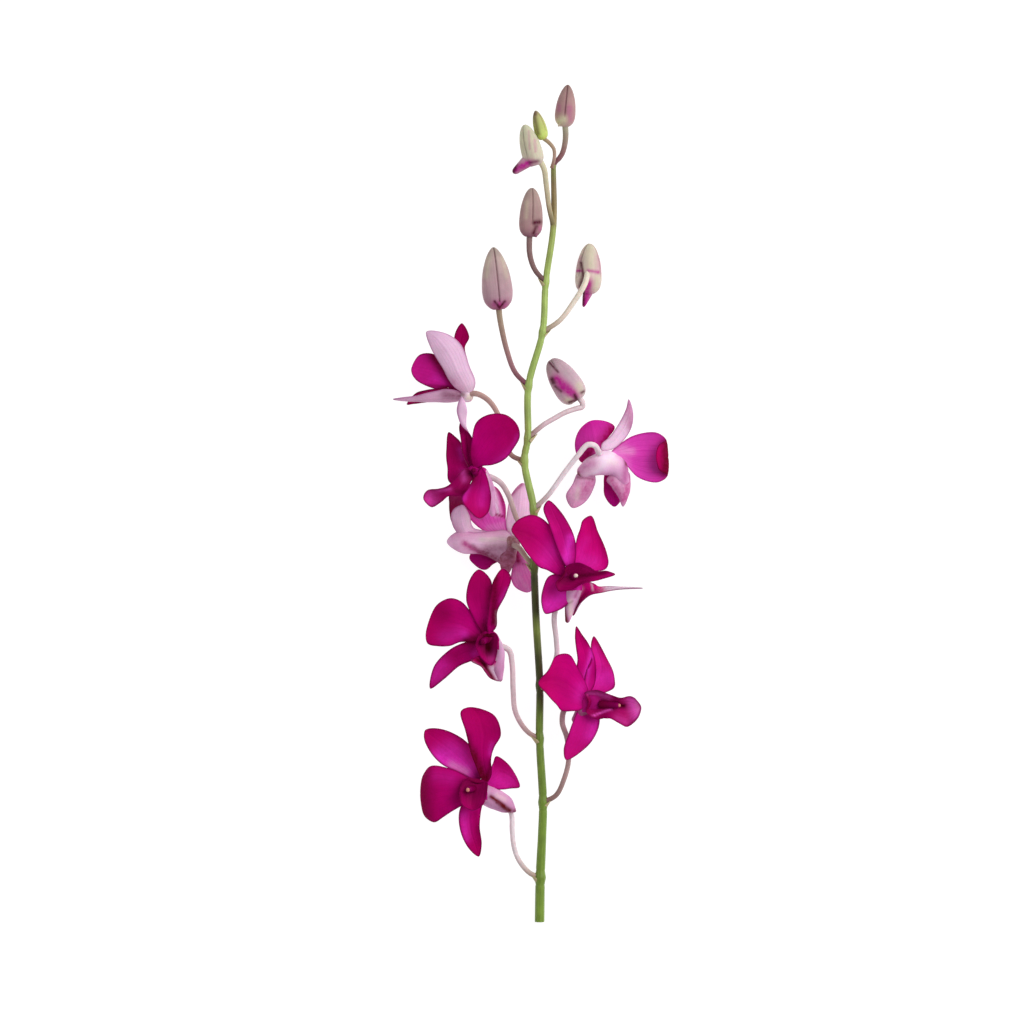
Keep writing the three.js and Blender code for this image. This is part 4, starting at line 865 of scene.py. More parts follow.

# How bright the blades of each bloom are, and how much each of them differs. Part of bloom 5's
# extra brightness is painted light, lifting blades that face away from the lamps
TONES = {
    "bloom_1": 1.0, "bloom_2": 1.05, "bloom_3": 0.95, "bloom_4": 1.02,
    "bloom_5": 1.18, "bloom_6": 0.94, "bloom_7": 1.1, "bloom_8": 1.0,
}
TONE_SPREAD = (0.96, 1.04)

# The dark throat of each bloom that faces up, round the foot of its column: partly the throat's
# own deeper colour and partly painted shade where the throat is deep
THROATS = {
    "bloom_1": [("shade", (0.5, 0), (0.5, 0), 5, 0.5)],
    "bloom_2": [("shade", (2.5, -1.5), (2.5, -1.5), 4, 0.25)],
    "bloom_3": [("shade", (0, -0.5), (0, -0.5), 5, 0.85)],
    "bloom_4": [("shade", (-3, 1), (-3, 1), 4.5, 0.5)],
    "bloom_6": [("shade", (-3, -1), (-3, -1), 5, 0.8)],
}

# Soft strokes of colour on the blades of each bloom: its kind, where it starts and ends, its
# reach to each side and its strength. A flush is bright on faces and mauve on backs, a shade is
# dark, and a fade is pale. Many shades are painted shade, where a blade curls, turns away from
# the light or lies under another, and some flushes and fades are painted highlights where a
# blade faces the light. The rest are the blades' own colour.
WHOLE = ((0, 0), (0, 0), 99)
STROKES = {
    "bloom_1": {
        # The left petal's dark outer margin and the right petal's dark left margin and base are painted
        # shade, where they curl away from the light
        "left_petal": [
            ("shade", (-22.5, 6), (-21.5, -12), 4.5, 0.6), ("shade", (-5, -3), (-4, 2), 3.5, 0.35),
            ("flush", (-16, 5), (-9, 4), 3, 0.2)],
        "right_petal": [
            ("shade", (-3, 22), (0, 14), 2.2, 0.8), ("shade", (0, 14), (5, 4), 3.4, 0.95),
            ("flush", (8, 15), (8.6, 19), 1.3, 0.45), ("shade", (8.3, 11.5), (6.5, 4), 1.2, 0.7),
            ("shade", (1, 30), (6, 24), 6, 0.12)],
        "dorsal_sepal": [
            ("flush", (-14, 12.5), (-2, 8), 5, 0.95), ("flush", (-9, 17), (-5, 15), 4, 0.45),
            ("fade", (-9, 10), (-3, 7), 1.8, 0.3), ("shade", (3, 7), (2, 4), 2, 0.5)],
        "left_lateral_sepal": [
            ("flush", (-4, -12), (-3, -22), 2.4, 0.5), ("shade", (1.5, -11), (3, -25), 1, 0.3)],
        "right_lateral_sepal": [
            ("flush", (9, 3), (16, 2.5), 5, 0.4), ("shade", (7.2, 10), (7, 6), 1.2, 0.4)],
        "lip": [("shade", (-1.5, -0.5), (1, -3), 5, 0.45)],
        # The dark slit along the chin is painted shadow of a groove that the skin itself doesn't have
        "chin": [
            ("flush", *WHOLE, 0.3), ("shade", (8.2, -4), (16.5, -10), 1, 1),
            ("shade", (11, -6.5), (15.5, -10), 1.1, 0.8),
            ("shade", (18.6, -10.2), (18.6, -10.2), 1, 0.8),
            ("fade", (11, -3.5), (14, -5), 1.5, 0.3)]},
    "bloom_2": {
        "left_petal": [("shade", (-14, 10), (-12, 8), 7, 0.1), ("flush", (-4, 5), (-5, 1), 3, 0.3)],
        "right_petal": [
            ("flush", (7, 9), (2, 9), 5, 0.55), ("flush", (4, 16), (2, 22), 2, 0.3),
            ("shade", (9.5, 14), (4, 24), 1.2, 0.3)],
        "dorsal_sepal": [
            ("flush", (0.8, 22), (-2.5, 8), 1.4, 0.75), ("flush", (-4, 8), (-3, 5), 3, 0.35)],
        "left_lateral_sepal": [("flush", (2, -11), (0, -16), 2.8, 0.55), ("flush", *WHOLE, 0.15)],
        "right_lateral_sepal": [("shade", (5, -5), (5, -5), 3, 0.5)],
        "lip": [
            ("flush", (18.5, -0.5), (20.5, -7), 2.8, 1), ("fade", (20.5, -2), (21, -5), 1.2, 0.15),
            ("shade", (6, -1.8), (14.5, -2.8), 1.2, 0.95),
            ("flush", (1, -7.6), (9, -4.5), 0.5, 0.8), ("flush", (12, -9), (16, -10.5), 2, 0.25),
            # This flush along the lip's upper edge is painted light, lifting the lip's own shadow there
            ("flush", (-1, 3), (8, 1.5), 1.6, 0.5)],
        "chin": [
            ("shade", *WHOLE, 0.4), ("flush", *WHOLE, 0.3),
            ("flush", (-5, -6.5), (-2.5, -6.8), 1.6, 1)]},
    "bloom_3": {
        "left_petal": [
            ("shade", (-22, 15), (-18, 12), 4, 0.3), ("shade", (-9, -0.5), (-2, 1), 2, 0.8),
            ("flush", (-9.5, 2.5), (-9.5, 2), 1.8, 0.55), ("flush", (-18, 1), (-12, 3), 3.5, 0.3)],
        "right_petal": [
            ("shade", (3.8, 27), (3.2, 8), 2.3, 0.85), ("flush", (6.5, 17), (9.5, 22), 1.3, 0.4),
            # The pale line on the right petal is a painted highlight on its turned-back margin
            ("fade", (4.4, 12.5), (4.6, 7), 0.6, 0.7)],
        "dorsal_sepal": [
            ("shade", *WHOLE, 0.12), ("shade", (2, 22), (2, 14), 1.6, 0.5),
            ("shade", (-1, 6), (1, 3), 3, 0.6)],
        "left_lateral_sepal": [
            ("shade", (-15, -7), (-8, -3.5), 3, 0.3), ("flush", (-22, -16), (-20, -12), 5, 0.45),
            ("shade", (-10, -1.5), (-3, -1), 1.2, 0.75), ("flush", (-5, -6), (-3, -4), 1.8, 0.5)],
        "right_lateral_sepal": [
            ("fade", (2.4, -12.5), (5, -17), 1.7, 1), ("flush", (4, -15), (6, -17.5), 1.4, 0.4),
            ("shade", (-4, -8.8), (-1, -11), 1.1, 0.95),
            ("shade", (-1, -11), (3, -17.3), 0.9, 0.95),
            ("fade", (-6, -9.9), (-1.5, -12.6), 0.45, 0.7)],
        "lip": [("shade", (0.5, 3), (1, -4), 3, 1), ("flush", (2.5, -8.5), (3.5, -6), 2, 0.25)],
        "chin": [
            ("flush", (6.5, -11), (5, -17), 2.5, 0.4),
            ("shade", (6.8, -18.4), (7, -18.4), 0.9, 0.7), ("flush", (6, 2), (6, 5), 1, 0.4)]},
    "bloom_4": {
        "left_petal": [
            ("shade", (-24, 22), (-20, 20), 4, 0.25), ("flush", (-12, 8), (-9, 12), 4.5, 0.3)],
        "right_petal": [
            ("flush", (9, 7), (4, 8), 3.5, 0.3), ("flush", (3, 12), (6, 17), 2, 0.15),
            ("shade", (11.5, 23), (14.6, 10), 1.2, 0.4)],
        "dorsal_sepal": [
            ("flush", (-2.4, 9), (-1, 18), 1.9, 0.9), ("flush", (-3, 8), (-2, 6), 2.5, 0.5),
            ("flush", *WHOLE, 0.1)],
        "left_lateral_sepal": [("flush", (-10, -12), (-4, -8), 4, 0.7), ("flush", *WHOLE, 0.15)],
        "right_lateral_sepal": [
            ("fade", (16, -4), (31, -4), 2.6, 1), ("fade", (3.6, -4.5), (0.5, -10), 1.1, 0.7),
            ("fade", (8.2, -1.8), (9, -5.5), 0.4, 0.8), ("shade", (6, -6), (1.5, -14), 1.6, 0.3)],
        "lip": [("shade", (-5, 1), (3, 1.5), 4.5, 0.45), ("shade", (3, 1), (14, 2.6), 1.1, 0.6)],
        "chin": [
            ("flush", *WHOLE, 0.25), ("flush", (2.8, -4), (1.2, -8), 0.8, 0.8),
            ("fade", (-1, -10), (-0.8, -15.5), 1.3, 0.5),
            ("shade", (-3.9, -13.5), (-2.6, -18.6), 1.1, 1),
            ("shade", (-3.5, -12.2), (0, -10), 0.5, 0.4)]},
    "bloom_5": {
        # The dark brown-mauve of the chin and of the lower half of the big sepal, the dark base of the
        # lower petal and the dark fold across the upper petal are mostly painted shade, where they turn
        # away from the light
        "left_petal": [
            ("flush", *WHOLE, 0.15), ("fade", (-9.6, 22), (-8, 13), 1.6, 0.85),
            ("shade", (-8.2, 23.5), (-5.5, 18.5), 0.9, 0.75),
            ("shade", (-6, 18.5), (-4.6, 11.5), 0.7, 0.75),
            ("shade", (-9, 12.3), (-5, 11.2), 0.5, 1),
            ("shade", (-23, 15.5), (-15, 10.8), 1.5, 0.45),
            ("flush", (-12, 6.5), (-6, 7.5), 1.5, 0.3)],
        "right_petal": [
            ("flush", *WHOLE, 0.58), ("shade", (0, -3), (1.2, -8), 1.8, 0.95),
            ("flush", (0.5, -14), (5.5, -20.5), 1, 0.6),
            ("shade", (3, -9.5), (5.5, -10), 0.5, 0.5)],
        "dorsal_sepal": [("flush", (-1.6, 21), (2.8, 25.4), 0.9, 0.8)],
        "left_lateral_sepal": [
            ("fade", (-15, 0.9), (-1, 1.4), 1.3, 0.75), ("flush", (-27, 3), (-6, 4.4), 3, 0.4),
            ("shade", (-14, -5), (-4, -9), 2.6, 0.9), ("shade", (-12, -2.6), (-2, -2.8), 2.6, 0.6),
            ("flush", (-26, -3), (-20, -4), 2.4, 0.3),
            ("flush", (-22.5, -0.5), (-14.5, -5), 1.4, 1),
            ("shade", (-19, -1.5), (-15, -4.8), 0.8, 0.5), ("fade", (-12, -1.4), (-5, -1), 1, 0.3)],
        "right_lateral_sepal": [
            ("flush", (-27.5, 8), (-23, 2), 2, 0.35), ("fade", (-21.5, 13), (-20.5, 7), 1.2, 0.4)],
        "lip": [("shade", *WHOLE, 0.3)],
        "chin": [("shade", *WHOLE, 0.76), ("fade", (-3, 0.5), (-2, 0.5), 2, 0.6)]},
    "bloom_6": {
        # The left petal's overall darkening is painted shade: it leans away from the light
        "left_petal": [
            ("shade", *WHOLE, 0.3), ("flush", (-7.5, 12), (-6.5, 8), 1.2, 0.5),
            ("flush", (-6.5, 2.5), (-5.5, -1.5), 1.6, 0.4)],
        "right_petal": [
            ("flush", (10, 6), (16, 11), 2.5, 0.35), ("flush", (16.5, 14), (18, 18), 1.2, 0.3),
            ("shade", (-3, 12), (-2, 6), 2.5, 0.5)],
        "dorsal_sepal": [("shade", (-5, 18), (-3.5, 6), 4, 0.45)],
        "left_lateral_sepal": [("shade", *WHOLE, 0.5)],
        "right_lateral_sepal": [
            ("flush", (3, -6), (2, -12), 2.5, 0.3), ("flush", (-3.5, -4), (-6, -10), 1.3, 0.6)],
        "lip": [
            ("flush", (-21.5, -8.5), (-20, -12), 3.6, 0.5),
            ("flush", (-17, -5.9), (-12, -5.6), 1, 0.4),
            ("flush", (-6.5, 2.5), (-5.5, -1.5), 1.6, 0.4),
            ("shade", (-9, -6.5), (-5, -7.5), 1.5, 0.5)],
        "chin": [
            ("flush", *WHOLE, 0.12), ("flush", (5, 2), (7, -6), 0.7, 0.5),
            ("flush", (8, -14), (9, -17), 1, 0.4)]},
    "bloom_7": {
        "left_petal": [
            ("shade", (6.2, 9.5), (2.6, 3.6), 3, 1), ("shade", (-7, -4), (-3, 0.5), 3, 1),
            ("shade", *WHOLE, 0.2)],
        # The dark patch at the right petal's tip is its folded-over face: partly the face's own deeper
        # colour, partly painted shade
        "right_petal": [
            ("shade", (30.4, 3), (30.2, -9), 3.2, 0.95), ("flush", (11, 0.5), (15, 0), 1.8, 0.6)],
        "dorsal_sepal": [
            ("flush", (13.5, 22), (14.8, 11), 2.2, 0.6), ("flush", (10, 15), (12, 20), 1.2, 0.3),
            ("shade", (6.8, 8.5), (12.8, 20.5), 0.5, 0.5)],
        "left_lateral_sepal": [
            ("flush", (-3, -14), (-7, -19), 2.5, 0.7),
            ("shade", (-8.5, -11.5), (-2, -12.3), 0.6, 0.6), ("flush", *WHOLE, 0.5),
            ("fade", (-8.5, -16.5), (-9.2, -20.5), 1.3, 0.5)],
        "right_lateral_sepal": [
            ("flush", *WHOLE, 0.35), ("flush", (13, -8), (13, -21), 2.6, 0.9),
            ("flush", (6, -12.5), (11, -21), 1.8, 0.85),
            ("shade", (12.2, -3.2), (13, -8.5), 0.8, 0.9)],
        "lip": [],
        "chin": [
            ("flush", (-8, -8.5), (-3, -5.5), 3.4, 0.7), ("flush", (-3, -11), (4, -10.6), 1, 0.5),
            ("flush", (6, -11.5), (9, -13.5), 1.6, 0.6), ("flush", (12.8, -4), (12, -13), 1.6, 0.8),
            ("shade", (12.3, -3), (12.8, -5.8), 0.7, 0.9),
            ("shade", (-8.7, -9.5), (-7.5, -12), 0.8, 0.8),
            ("shade", (-1.5, 0.8), (-4, -0.6), 0.8, 0.6), ("fade", (6, -4), (8, -5.5), 2, 0.3)]},
    "bloom_8": {
        # The dark band along the left petal beside the dorsal sepal is painted shadow of that sepal
        "left_petal": [
            ("flush", *WHOLE, 0.36), ("shade", (-17, 18), (-8, 5.5), 2.4, 0.9),
            ("shade", (-19, 4.8), (-11, 4.4), 1, 0.6), ("flush", (-16, 8.5), (-12.5, 7), 2, 0.4)],
        "right_petal": [("shade", *WHOLE, 0.42)],
        "dorsal_sepal": [
            ("flush", (-8, 6), (-5, 2), 3, 0.4), ("flush", (-19, 20), (-8, 6), 0.8, 0.3)],
        "left_lateral_sepal": [("shade", (-12, 1), (-6, 0.5), 2.2, 0.65), ("flush", *WHOLE, 0.3)],
        "right_lateral_sepal": [("shade", *WHOLE, 0.3)], "lip": [],
        "chin": [
            ("shade", (-5, 1), (-4, 1), 1.3, 0.6), ("fade", (-1.5, -0.3), (-0.5, -0.3), 1.6, 0.9)]},
}


def blade_edge(blade, side, other, shares):
    """One edge. It goes on round the tip to the other edge, so that the tip is round."""
    points = [blade["base"], *blade[side], blade["tip"], blade[other][-1]]
    return smooth_curve(points, shares * (len(points) - 2) / (len(points) - 1))


def blade_middle(blade, rows, columns, ruffle, seed):
    """The middle surface of a blade as a grid of points, with its own waves and veins."""
    even, odd = np.linspace(0, 1, rows), np.linspace(-1, 1, columns)
    t = (1 - ROW_CROWDING) * even + ROW_CROWDING * (1 - np.cos(np.pi * even)) / 2
    s = np.sin(odd * np.pi / 2) * COLUMN_CROWDING + odd * (1 - COLUMN_CROWDING)
    left, right = (blade_edge(blade, a, b, t) for a, b in SIDES)
    ahead, behind = (sum(blade_edge(blade, a, b, shares) for a, b in SIDES)
                     for shares in (np.minimum(t + FRONT_STEP, 1), np.maximum(t - FRONT_STEP, 0)))
    across = right - left
    width = np.linalg.norm(across, axis=1)[:, None]
    front = np.cross(across, ahead - behind)
    front /= np.maximum(np.linalg.norm(front, axis=1), TINY)[:, None]
    front[0], front[-1] = front[1], front[-2]
    phases = np.random.default_rng(seed).uniform(0, 2 * np.pi, 4)
    T, S = np.meshgrid(t, s, indexing="ij")
    wave = sum(height * np.sin(2 * np.pi * count * T + phase + slant * S) * np.abs(S) ** power
               for phase, (count, height, slant, power) in zip(phases, WAVES))
    twist = TWIST_HEIGHT * np.sin(2 * np.pi * TWISTS * T + phases[2])
    wave += twist * np.sin(np.pi * S + phases[3])
    wave *= ruffle * np.sin(np.pi * T) ** RUFFLE_FADE * np.minimum(width / RUFFLED_WIDTH, 1)
    midrib = -MIDRIB_DEPTH * np.exp(-(S / MIDRIB_WIDTH) ** 2) * np.sin(np.pi * T) ** MIDRIB_FADE
    veins = VEIN_HEIGHT * np.cos(2 * np.pi * VEINS * S / 2) * np.minimum(width / VEINED_WIDTH, 1)
    lift = -blade["cup"] * width * (1 - S ** 2) + wave + midrib + veins
    place = left[:, None] * (1 - S[..., None]) / 2 + right[:, None] * (1 + S[..., None]) / 2
    length = np.linalg.norm(np.array(blade["tip"]) - np.array(blade["base"]))
    to_edge = np.minimum((1 - np.abs(S)) * width / 2, (1 - T) * length)
    return place + front[:, None] * lift[..., None], T, S, to_edge


def grid_normals(points):
    """The unit normal at each point of a grid, towards its front."""
    normals = np.cross(np.gradient(points, axis=1), np.gradient(points, axis=0))
    normals /= np.maximum(np.linalg.norm(normals, axis=2), TINY)[..., None]
    normals[0], normals[-1] = normals[1], normals[-2]
    return normals


def looks_at(places, tone, strokes):
    """The tone of each place and how far each soft stroke of colour, seen from above, covers it."""
    looks = {kind: np.zeros(places.shape[:-1]) for kind in LOOKS}
    looks["tone"] += tone
    for kind, start, end, reach, amount in strokes:
        start, way = np.array(start, float), np.array(end, float) - start
        off = places[..., :2] - start
        share = np.clip(off @ way / max(way @ way, TINY), 0, 1)
        away = np.linalg.norm(off - share[..., None] * way, axis=-1)
        cover = amount * np.exp(-(away / reach) ** 2)
        looks[kind] += (1 - looks[kind]) * cover
    return looks


def new_parts():
    """An empty set of points, faces and looks that a piece is gathered in."""
    return {key: [] for key in ("points", "faces", "slots", "uv", *LOOKS)}


def add_point(parts, point, uv, looks, place):
    """Adds a point with its place on the blade map and its looks. Gives its number."""
    parts["points"].append(point)
    parts["uv"].append(uv)
    for kind in LOOKS:
        parts[kind].append(looks[kind][place])
    return len(parts["points"]) - 1


def add_blade(parts, blade, thickness, ruffle, seed, slots, tone, strokes, throat=()):
    """Adds a blade to the parts of a piece: two skins that meet at its thin rounded rim."""
    rows, columns = BLADE_ROWS, BLADE_COLUMNS
    middle, T, S, to_edge = blade_middle(blade, rows, columns, ruffle, seed)
    normals = grid_normals(middle)
    rim = np.sqrt(1 - np.abs(S) ** SIDE_ROUNDING) * np.sqrt(1 - T ** TIP_ROUNDING)
    half = thickness / 2 * rim
    numbers = {}

    def shared(side, row, column):
        """The side, row and column of a point: the rim is on no side, and an end is one point."""
        end = row in (0, rows - 1)
        edge = end or column in (0, columns - 1)
        return 0 if edge else side, row, 0 if end else column

    for side, slot, all_strokes in ((1, slots[0], [*strokes, *throat]), (-1, slots[1], strokes)):
        looks = looks_at(middle, tone, all_strokes)
        # The rim's darker colour is painted shade along the blade's edges
        looks["rim"] = np.exp(-(to_edge / SHADED_RIM_WIDTH) ** 2)
        skin = middle + side * half[..., None] * normals
        for row in range(rows):
            for column in range(columns):
                key = shared(side, row, column)
                if key not in numbers:
                    spot = (skin if key[0] else middle)[key[1:]]
                    numbers[key] = add_point(parts, spot, (S[row, column] / 2 + 0.5, T[row, column]),
                                             looks, (row, column))
        for row in range(rows - 1):
            for column in range(columns - 1):
                around = ((row, column), (row, column + 1), (row + 1, column + 1), (row + 1, column))
                corners = list(dict.fromkeys(numbers[shared(side, *place)] for place in around))
                if len(corners) > 2:
                    parts["faces"].append(corners if side > 0 else corners[::-1])
                    parts["slots"].append(slot)


def chin_skin_mesh(core, core_radii, path, radii):
    """The swollen base of a bloom and its chin, run together into one smooth skin."""
    body = bmesh.new()
    ball = bmesh.ops.create_icosphere(body, subdivisions=4, radius=1)["verts"]
    for vertex in ball:
        vertex.co = [c + r * v for c, r, v in zip(core, core_radii, vertex.co)]
    shares = np.linspace(0, 1, CHIN_SWELLINGS)
    widths = np.interp(shares * (len(radii) - 1), range(len(radii)), radii)
    for centre, width in zip(smooth_curve(path, shares), widths):
        ball = bmesh.ops.create_icosphere(body, subdivisions=3, radius=width)["verts"]
        for vertex in ball:
            vertex.co = vertex.co + mathutils.Vector(centre)
    mesh = bpy.data.meshes.new("chin")
    body.to_mesh(mesh)
    body.free()
    start = bpy.data.objects.new("chin", mesh)
    bpy.context.collection.objects.link(start)
    joined = start.modifiers.new("one skin", "REMESH")
    joined.mode = "VOXEL"
    joined.voxel_size = SKIN_VOXEL
    even = start.modifiers.new("even", "SMOOTH")
    even.factor = 0.5
    even.iterations = SKIN_SMOOTHING
    bpy.context.view_layer.update()
    result = bpy.data.meshes.new_from_object(
        start.evaluated_get(bpy.context.evaluated_depsgraph_get()))
    bpy.data.objects.remove(start)
    points = np.array([vertex.co for vertex in result.vertices])
    faces = [list(polygon.vertices) for polygon in result.polygons]
    return points, faces


def add_skin(parts, points, faces, heights, looks):
    """Adds a chin's skin, with the height of each point on the blade map."""
    first = len(parts["points"])
    for index, point in enumerate(points):
        add_point(parts, point, (0.5, heights[index]), looks, index)
    parts["faces"] += [[first + corner for corner in face] for face in faces]


def add_chin(parts, chin, tone, strokes, throat, slot):
    """Adds the smooth base and chin of a bloom. Inside the throat its skin is the petals' own."""
    points, faces = chin_skin_mesh(chin["core"], chin["core_radii"], chin["path"], chin["radii"])
    core = np.array(chin["core"])
    way = np.array(chin["path"][-1]) - core
    shares = np.clip((points - core) @ way / (way @ way), 0, 1)
    add_skin(parts, points, faces, shares, looks_at(points, tone, [*strokes, *throat]))
    inner = np.array(chin["core_radii"]) * THROAT_REACH
    inside = (np.abs(points - core) < inner).all(axis=1) & (points[:, 2] > core[2] - THROAT_DEPTH)
    parts["slots"] += [0 if throat and inside[face].all() else slot for face in faces]


def made_of(parts, name, centre, materials):
    """The finished mesh object of a piece, with its blade map and its looks."""
    mesh = bpy.data.meshes.new(name)
    points = np.array(parts["points"]) + np.array(centre)
    points[:, 2] = np.maximum(points[:, 2], LOWEST)
    mesh.from_pydata((points * MM).tolist(), [], parts["faces"])
    for material in materials:
        mesh.materials.append(material)
    mesh.polygons.foreach_set("material_index", parts["slots"])
    mesh.polygons.foreach_set("use_smooth", [True] * len(parts["faces"]))
    corners = np.empty(len(mesh.loops), int)
    mesh.loops.foreach_get("vertex_index", corners)
    blade_map = mesh.uv_layers.new(name="blade")
    blade_map.data.foreach_set("uv", np.array(parts["uv"], np.float32)[corners].ravel())
    for kind in LOOKS:
        attribute = mesh.attributes.new(kind, "FLOAT", "POINT")
        attribute.data.foreach_set("value", np.array(parts[kind], np.float32))
    mesh.validate()
    piece = bpy.data.objects.new(name, mesh)
    bpy.context.collection.objects.link(piece)
    return piece


# How far a vein sways, and how strong fine veins are and all of them at the tip
VEIN_SWAY = 0.07
FINE_VEINS = 0.6
VEINS_AT_TIP = 0.35


def vein_lines(tree, position, u, count, width):
    """A mask that is 1 on fine lines which sway from the base of a blade to its tip."""
    wander = noise(tree, position, scale=130.0, detail=2.0)
    sway = calculated(tree, "MULTIPLY_ADD", wander, VEIN_SWAY, u)
    away = calculated(tree, "PINGPONG", product(tree, sway, count), 0.5)
    return spread(tree, away, (0.0, width), (1.0, 0.0), "SMOOTHSTEP")


def petal_material(name, colours, veins, roughness=0.55):
    """Living petal tissue. Colours are those at the base, middle and tip, then of the veins, the
    rim, a flush, a shade and a fade. Veins is how strong they are. The rim and the shade also
    carry painted shade, and a flush or a fade some painted highlights."""
    material, tree = new_material(name)
    base, middle, tip, vein, rim, flush, dark, pale = colours
    blade_map = add_node(tree, "ShaderNodeUVMap", {"uv_map": "blade"})
    place = add_node(tree, "ShaderNodeSeparateXYZ", links={0: blade_map.outputs[0]})
    u, v = place.outputs["X"], place.outputs["Y"]
    position = add_node(tree, "ShaderNodeTexCoord").outputs["Object"]
    clouds = noise(tree, position, scale=110.0, detail=5.0)
    mottle = noise(tree, position, scale=700.0, detail=2.0)
    colour = graded(tree, v, ((0.02, base), (0.3, middle), (0.95, tip)))
    # The strokes and the rim are a little patchy
    for kind, target, strength in (("flush", flush, (0.9, 1.12)), ("fade", pale, (0.9, 1.1)),
                                   ("rim", rim, (0.8, 0.8)), ("shade", dark, (0.9, 1.1))):
        patchy = spread(tree, mottle, (0.35, 0.65), strength)
        share = calculated(tree, "MULTIPLY", stored(tree, kind), patchy, clamp=True)
        colour = mixed(tree, share, colour, linear(target))
    # Nine bold veins and 25 fine, fainter ones, which fade in patches and towards the tip
    bold = vein_lines(tree, position, u, count=9.0, width=0.14)
    fine = vein_lines(tree, position, u, count=25.0, width=0.3)
    lines = calculated(tree, "MAXIMUM", bold, product(tree, fine, FINE_VEINS))
    broken = product(tree, lines, spread(tree, clouds, (0.35, 0.6), (0.4, 1.2)))
    fading = spread(tree, v, (0.45, 1.0), (veins, veins * VEINS_AT_TIP))
    veined = mixed(tree, product(tree, broken, fading), colour, linear(vein))
    # Surface cells are about 0.05 mm across: drawn at 0.5 mm, so that they show
    cells = add_node(tree, "ShaderNodeTexVoronoi", links={
        "Vector": position, "Scale": 2000.0}).outputs["Distance"]
    cloudy = product(tree, spread(tree, clouds, (0.3, 0.7), (0.88, 1.12)), stored(tree, "tone"))
    bright = product(tree, cloudy, spread(tree, cells, (0.0, 0.6), (1.05, 0.96)))
    fine_relief = relief(tree, cells, strength=0.25, depth=0.05 * MM)
    add_surface(tree, {
        "Base Color": scaled(tree, veined, bright), "Roughness": roughness, "IOR": 1.4,
        "Specular IOR Level": 0.04, "Subsurface Weight": 0.15,
        "Subsurface Radius": (1.0, 0.3, 0.6), "Subsurface Scale": 0.6 * MM,
        "Normal": relief(tree, lines, strength=0.25, depth=0.1 * MM, under=fine_relief)})
    return material


# Velvety magenta face, violet-pink where it is flushed and wine red in the throat. The wine red
# also paints shade on margins, folds and blades that turn from the light, and the violet-pink
# some highlights
petal_face = petal_material("velvety_magenta_petal_face", (
    "#be0078", "#c40078", "#be0062", "#9c0060", "#6a003c", "#ee30c4", "#64001c", "#d8bcd0"), veins=0.2)
# The back of a petal is a milkier magenta, with fine darker veins, and dark crimson where shade
# is painted in its folds
petal_back = petal_material("milky_magenta_petal_back", (
    "#ee9ce0", "#de44b8", "#cc1a9a", "#b81888", "#a01478", "#e8a0d4", "#8c0044", "#f0d8ee"), veins=0.4)
# The back of a sepal is pale lilac, with rose veins, and mauve where it is flushed. Its dark
# mauve paints shade where a sepal turns down from the light
sepal_back = petal_material("pale_lilac_sepal_back", (
    "#eed4e4", "#f0cce6", "#ecc0e0", "#c890b8", "#aa6498", "#b45088", "#702040", "#d0c6c0"), veins=0.3)
# The chin and the ovary are pale lilac, flushed with mauve. Their dark red-brown paints shade
# where a chin turns from the light and in the slit along bloom 1's chin
chin_skin = petal_material("pale_lilac_chin_skin", (
    "#f2d6ea", "#ecb6de", "#e0a2cc", "#c888b4", "#a86094", "#bc649c", "#70161e", "#ece0cc"), veins=0.2)
# The places of these four among the materials of a bloom
FACE, PETAL_BACK, SEPAL_BACK, CHIN = range(4)

for number, (name, tepals) in enumerate(TEPALS.items()):
    parts = new_parts()
    throat = THROATS.get(name, [])
    for order, (tepal, blade) in enumerate(tepals.items()):
        seed = 10 * number + order
        tone = TONES[name] * np.random.default_rng(seed).uniform(*TONE_SPREAD)
        back = PETAL_BACK if tepal.endswith("petal") else SEPAL_BACK
        add_blade(parts, blade, BLADE_THICKNESS, RUFFLE, seed, (FACE, back), tone,
                  STROKES[name][tepal], throat)
    add_chin(parts, CHINS[name], TONES[name], STROKES[name]["chin"], throat, CHIN)
    piece = made_of(parts, f"sepals_and_petals_of_{name}", CENTRES[name],
                    [petal_face, petal_back, sepal_back, chin_skin])
    settle(piece, [f"{name}_tepals"])


# The lips
# The third petal of each bloom is its lip: darker, cupped round the column, with a groove
# along its middle and a frilled rim.

